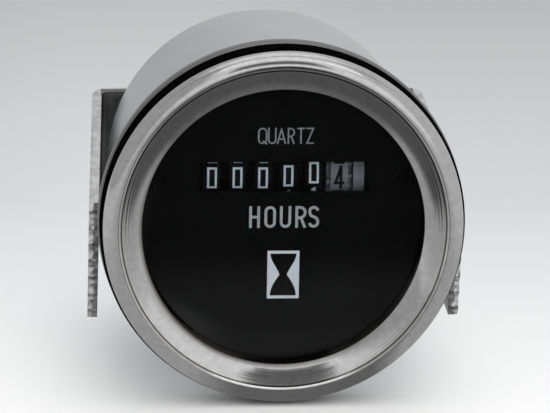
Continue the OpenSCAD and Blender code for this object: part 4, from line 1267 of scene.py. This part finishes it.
# %% Reflection card
CARD_Z, CARD_HALF = FLOOR_Z + 0.00002, 2.9
STRIP_WIDE, STRIP_NARROW, STRIP_SHIFT, STRIP_EDGE = 0.024, 0.011, 0.004, 0.012
STRIP_BLACK, STRIP_GREY, STRIP_LIFT, INNER_GREY, OUTER_GREY = 0.015, 0.1, 0.06, 0.42, 0.58
card, tree = square("reflection card", CARD_HALF, CARD_Z)
spot = object_place(tree)
near = ramp(spot[1], -0.08, -0.05, 0.0, STRIP_SHIFT)
middle = calc("ADD", calc("MULTIPLY", spot[1], -VIEW_SLANT), near)
half = ramp(spot[1], -0.085, -0.04, STRIP_WIDE, STRIP_NARROW)
past = calc("SUBTRACT", beside_line(spot[0], middle), half)
strip_front = ramp(spot[1], -0.1, -0.065, STRIP_BLACK, STRIP_GREY)
strip_back = ramp(spot[1], -0.055, -0.03, 0.0, STRIP_LIFT)
strip_tone = calc("ADD", strip_front, strip_back)
side_tone = ramp(calc("ABSOLUTE", spot[0]), 0.03, 0.15, INNER_GREY, OUTER_GREY)
card_tone = ramp(past, 0.0, STRIP_EDGE, strip_tone, side_tone)
print("card:", card.name)

# %% [markdown]
# Only mirror rays may meet the card, so the sheet gets no shadow from it. A ray that has left a matt
# surface passes through too, so the dial's ink keeps its light while the black dial mirrors the dark card.

# %% Card for mirrors only
card.visible_camera = False
card.visible_diffuse = False
card.visible_shadow = False
felt = add_node(tree, "ShaderNodeEmission", {"Color": card_tone, "Strength": 1.0})
gone = add_node(tree, "ShaderNodeBsdfTransparent")
bounced = add_node(tree, "ShaderNodeLightPath").outputs["Diffuse Depth"]
blend_surfaces(calc("GREATER_THAN", bounced, 0.5), felt, gone)
print("card hidden from the camera:", not card.visible_camera)

# %% [markdown]
# ## The camera
# The picture looks down a little, from slightly left, through a long lens, and leans by one degree. We
# place the camera by these angles and a distance, and aim it at a point near the bezel's middle.

# %% Camera place
ELEVATION, YAW, ROLL = (math.radians(a) for a in (14.868, 5.308, 1.057))
DISTANCE, LENS = 0.647, 265.4
AIM_RIGHT, AIM_UP = -0.00139, 0.0034
level = math.cos(ELEVATION)
away = Vector((-math.sin(YAW) * level, -math.cos(YAW) * level, math.sin(ELEVATION)))
bezel_middle = Vector((0.0, WIDE_Y * MM, 0.0))
eye = bezel_middle + away * DISTANCE
right = Vector((0.0, 0.0, 1.0)).cross(away).normalized()
up = away.cross(right)
lean_right = right * math.cos(ROLL) + up * math.sin(ROLL)
lean_up = up * math.cos(ROLL) - right * math.sin(ROLL)
target = bezel_middle + lean_right * AIM_RIGHT + lean_up * AIM_UP
print("camera at", [round(v, 4) for v in eye])

# %% [markdown]
# A camera looks along its own minus z, so its axes are built from the look and the leaning upright.

# %% Camera
look = (eye - target).normalized()
side = lean_up.cross(look).normalized()
turned = Matrix((side, look.cross(side), look)).transposed().to_4x4()
camera_data = bpy.data.cameras.new("camera")
camera_data.lens = LENS
camera_data.sensor_fit = "HORIZONTAL"
camera_data.clip_end = 20.0
camera = new_object("camera", camera_data)
camera.matrix_world = Matrix.Translation(eye) @ turned
bpy.context.scene.camera = camera
bpy.context.scene.view_settings.view_transform = "Standard"
print("camera:", camera.name, "lens:", LENS, "mm")
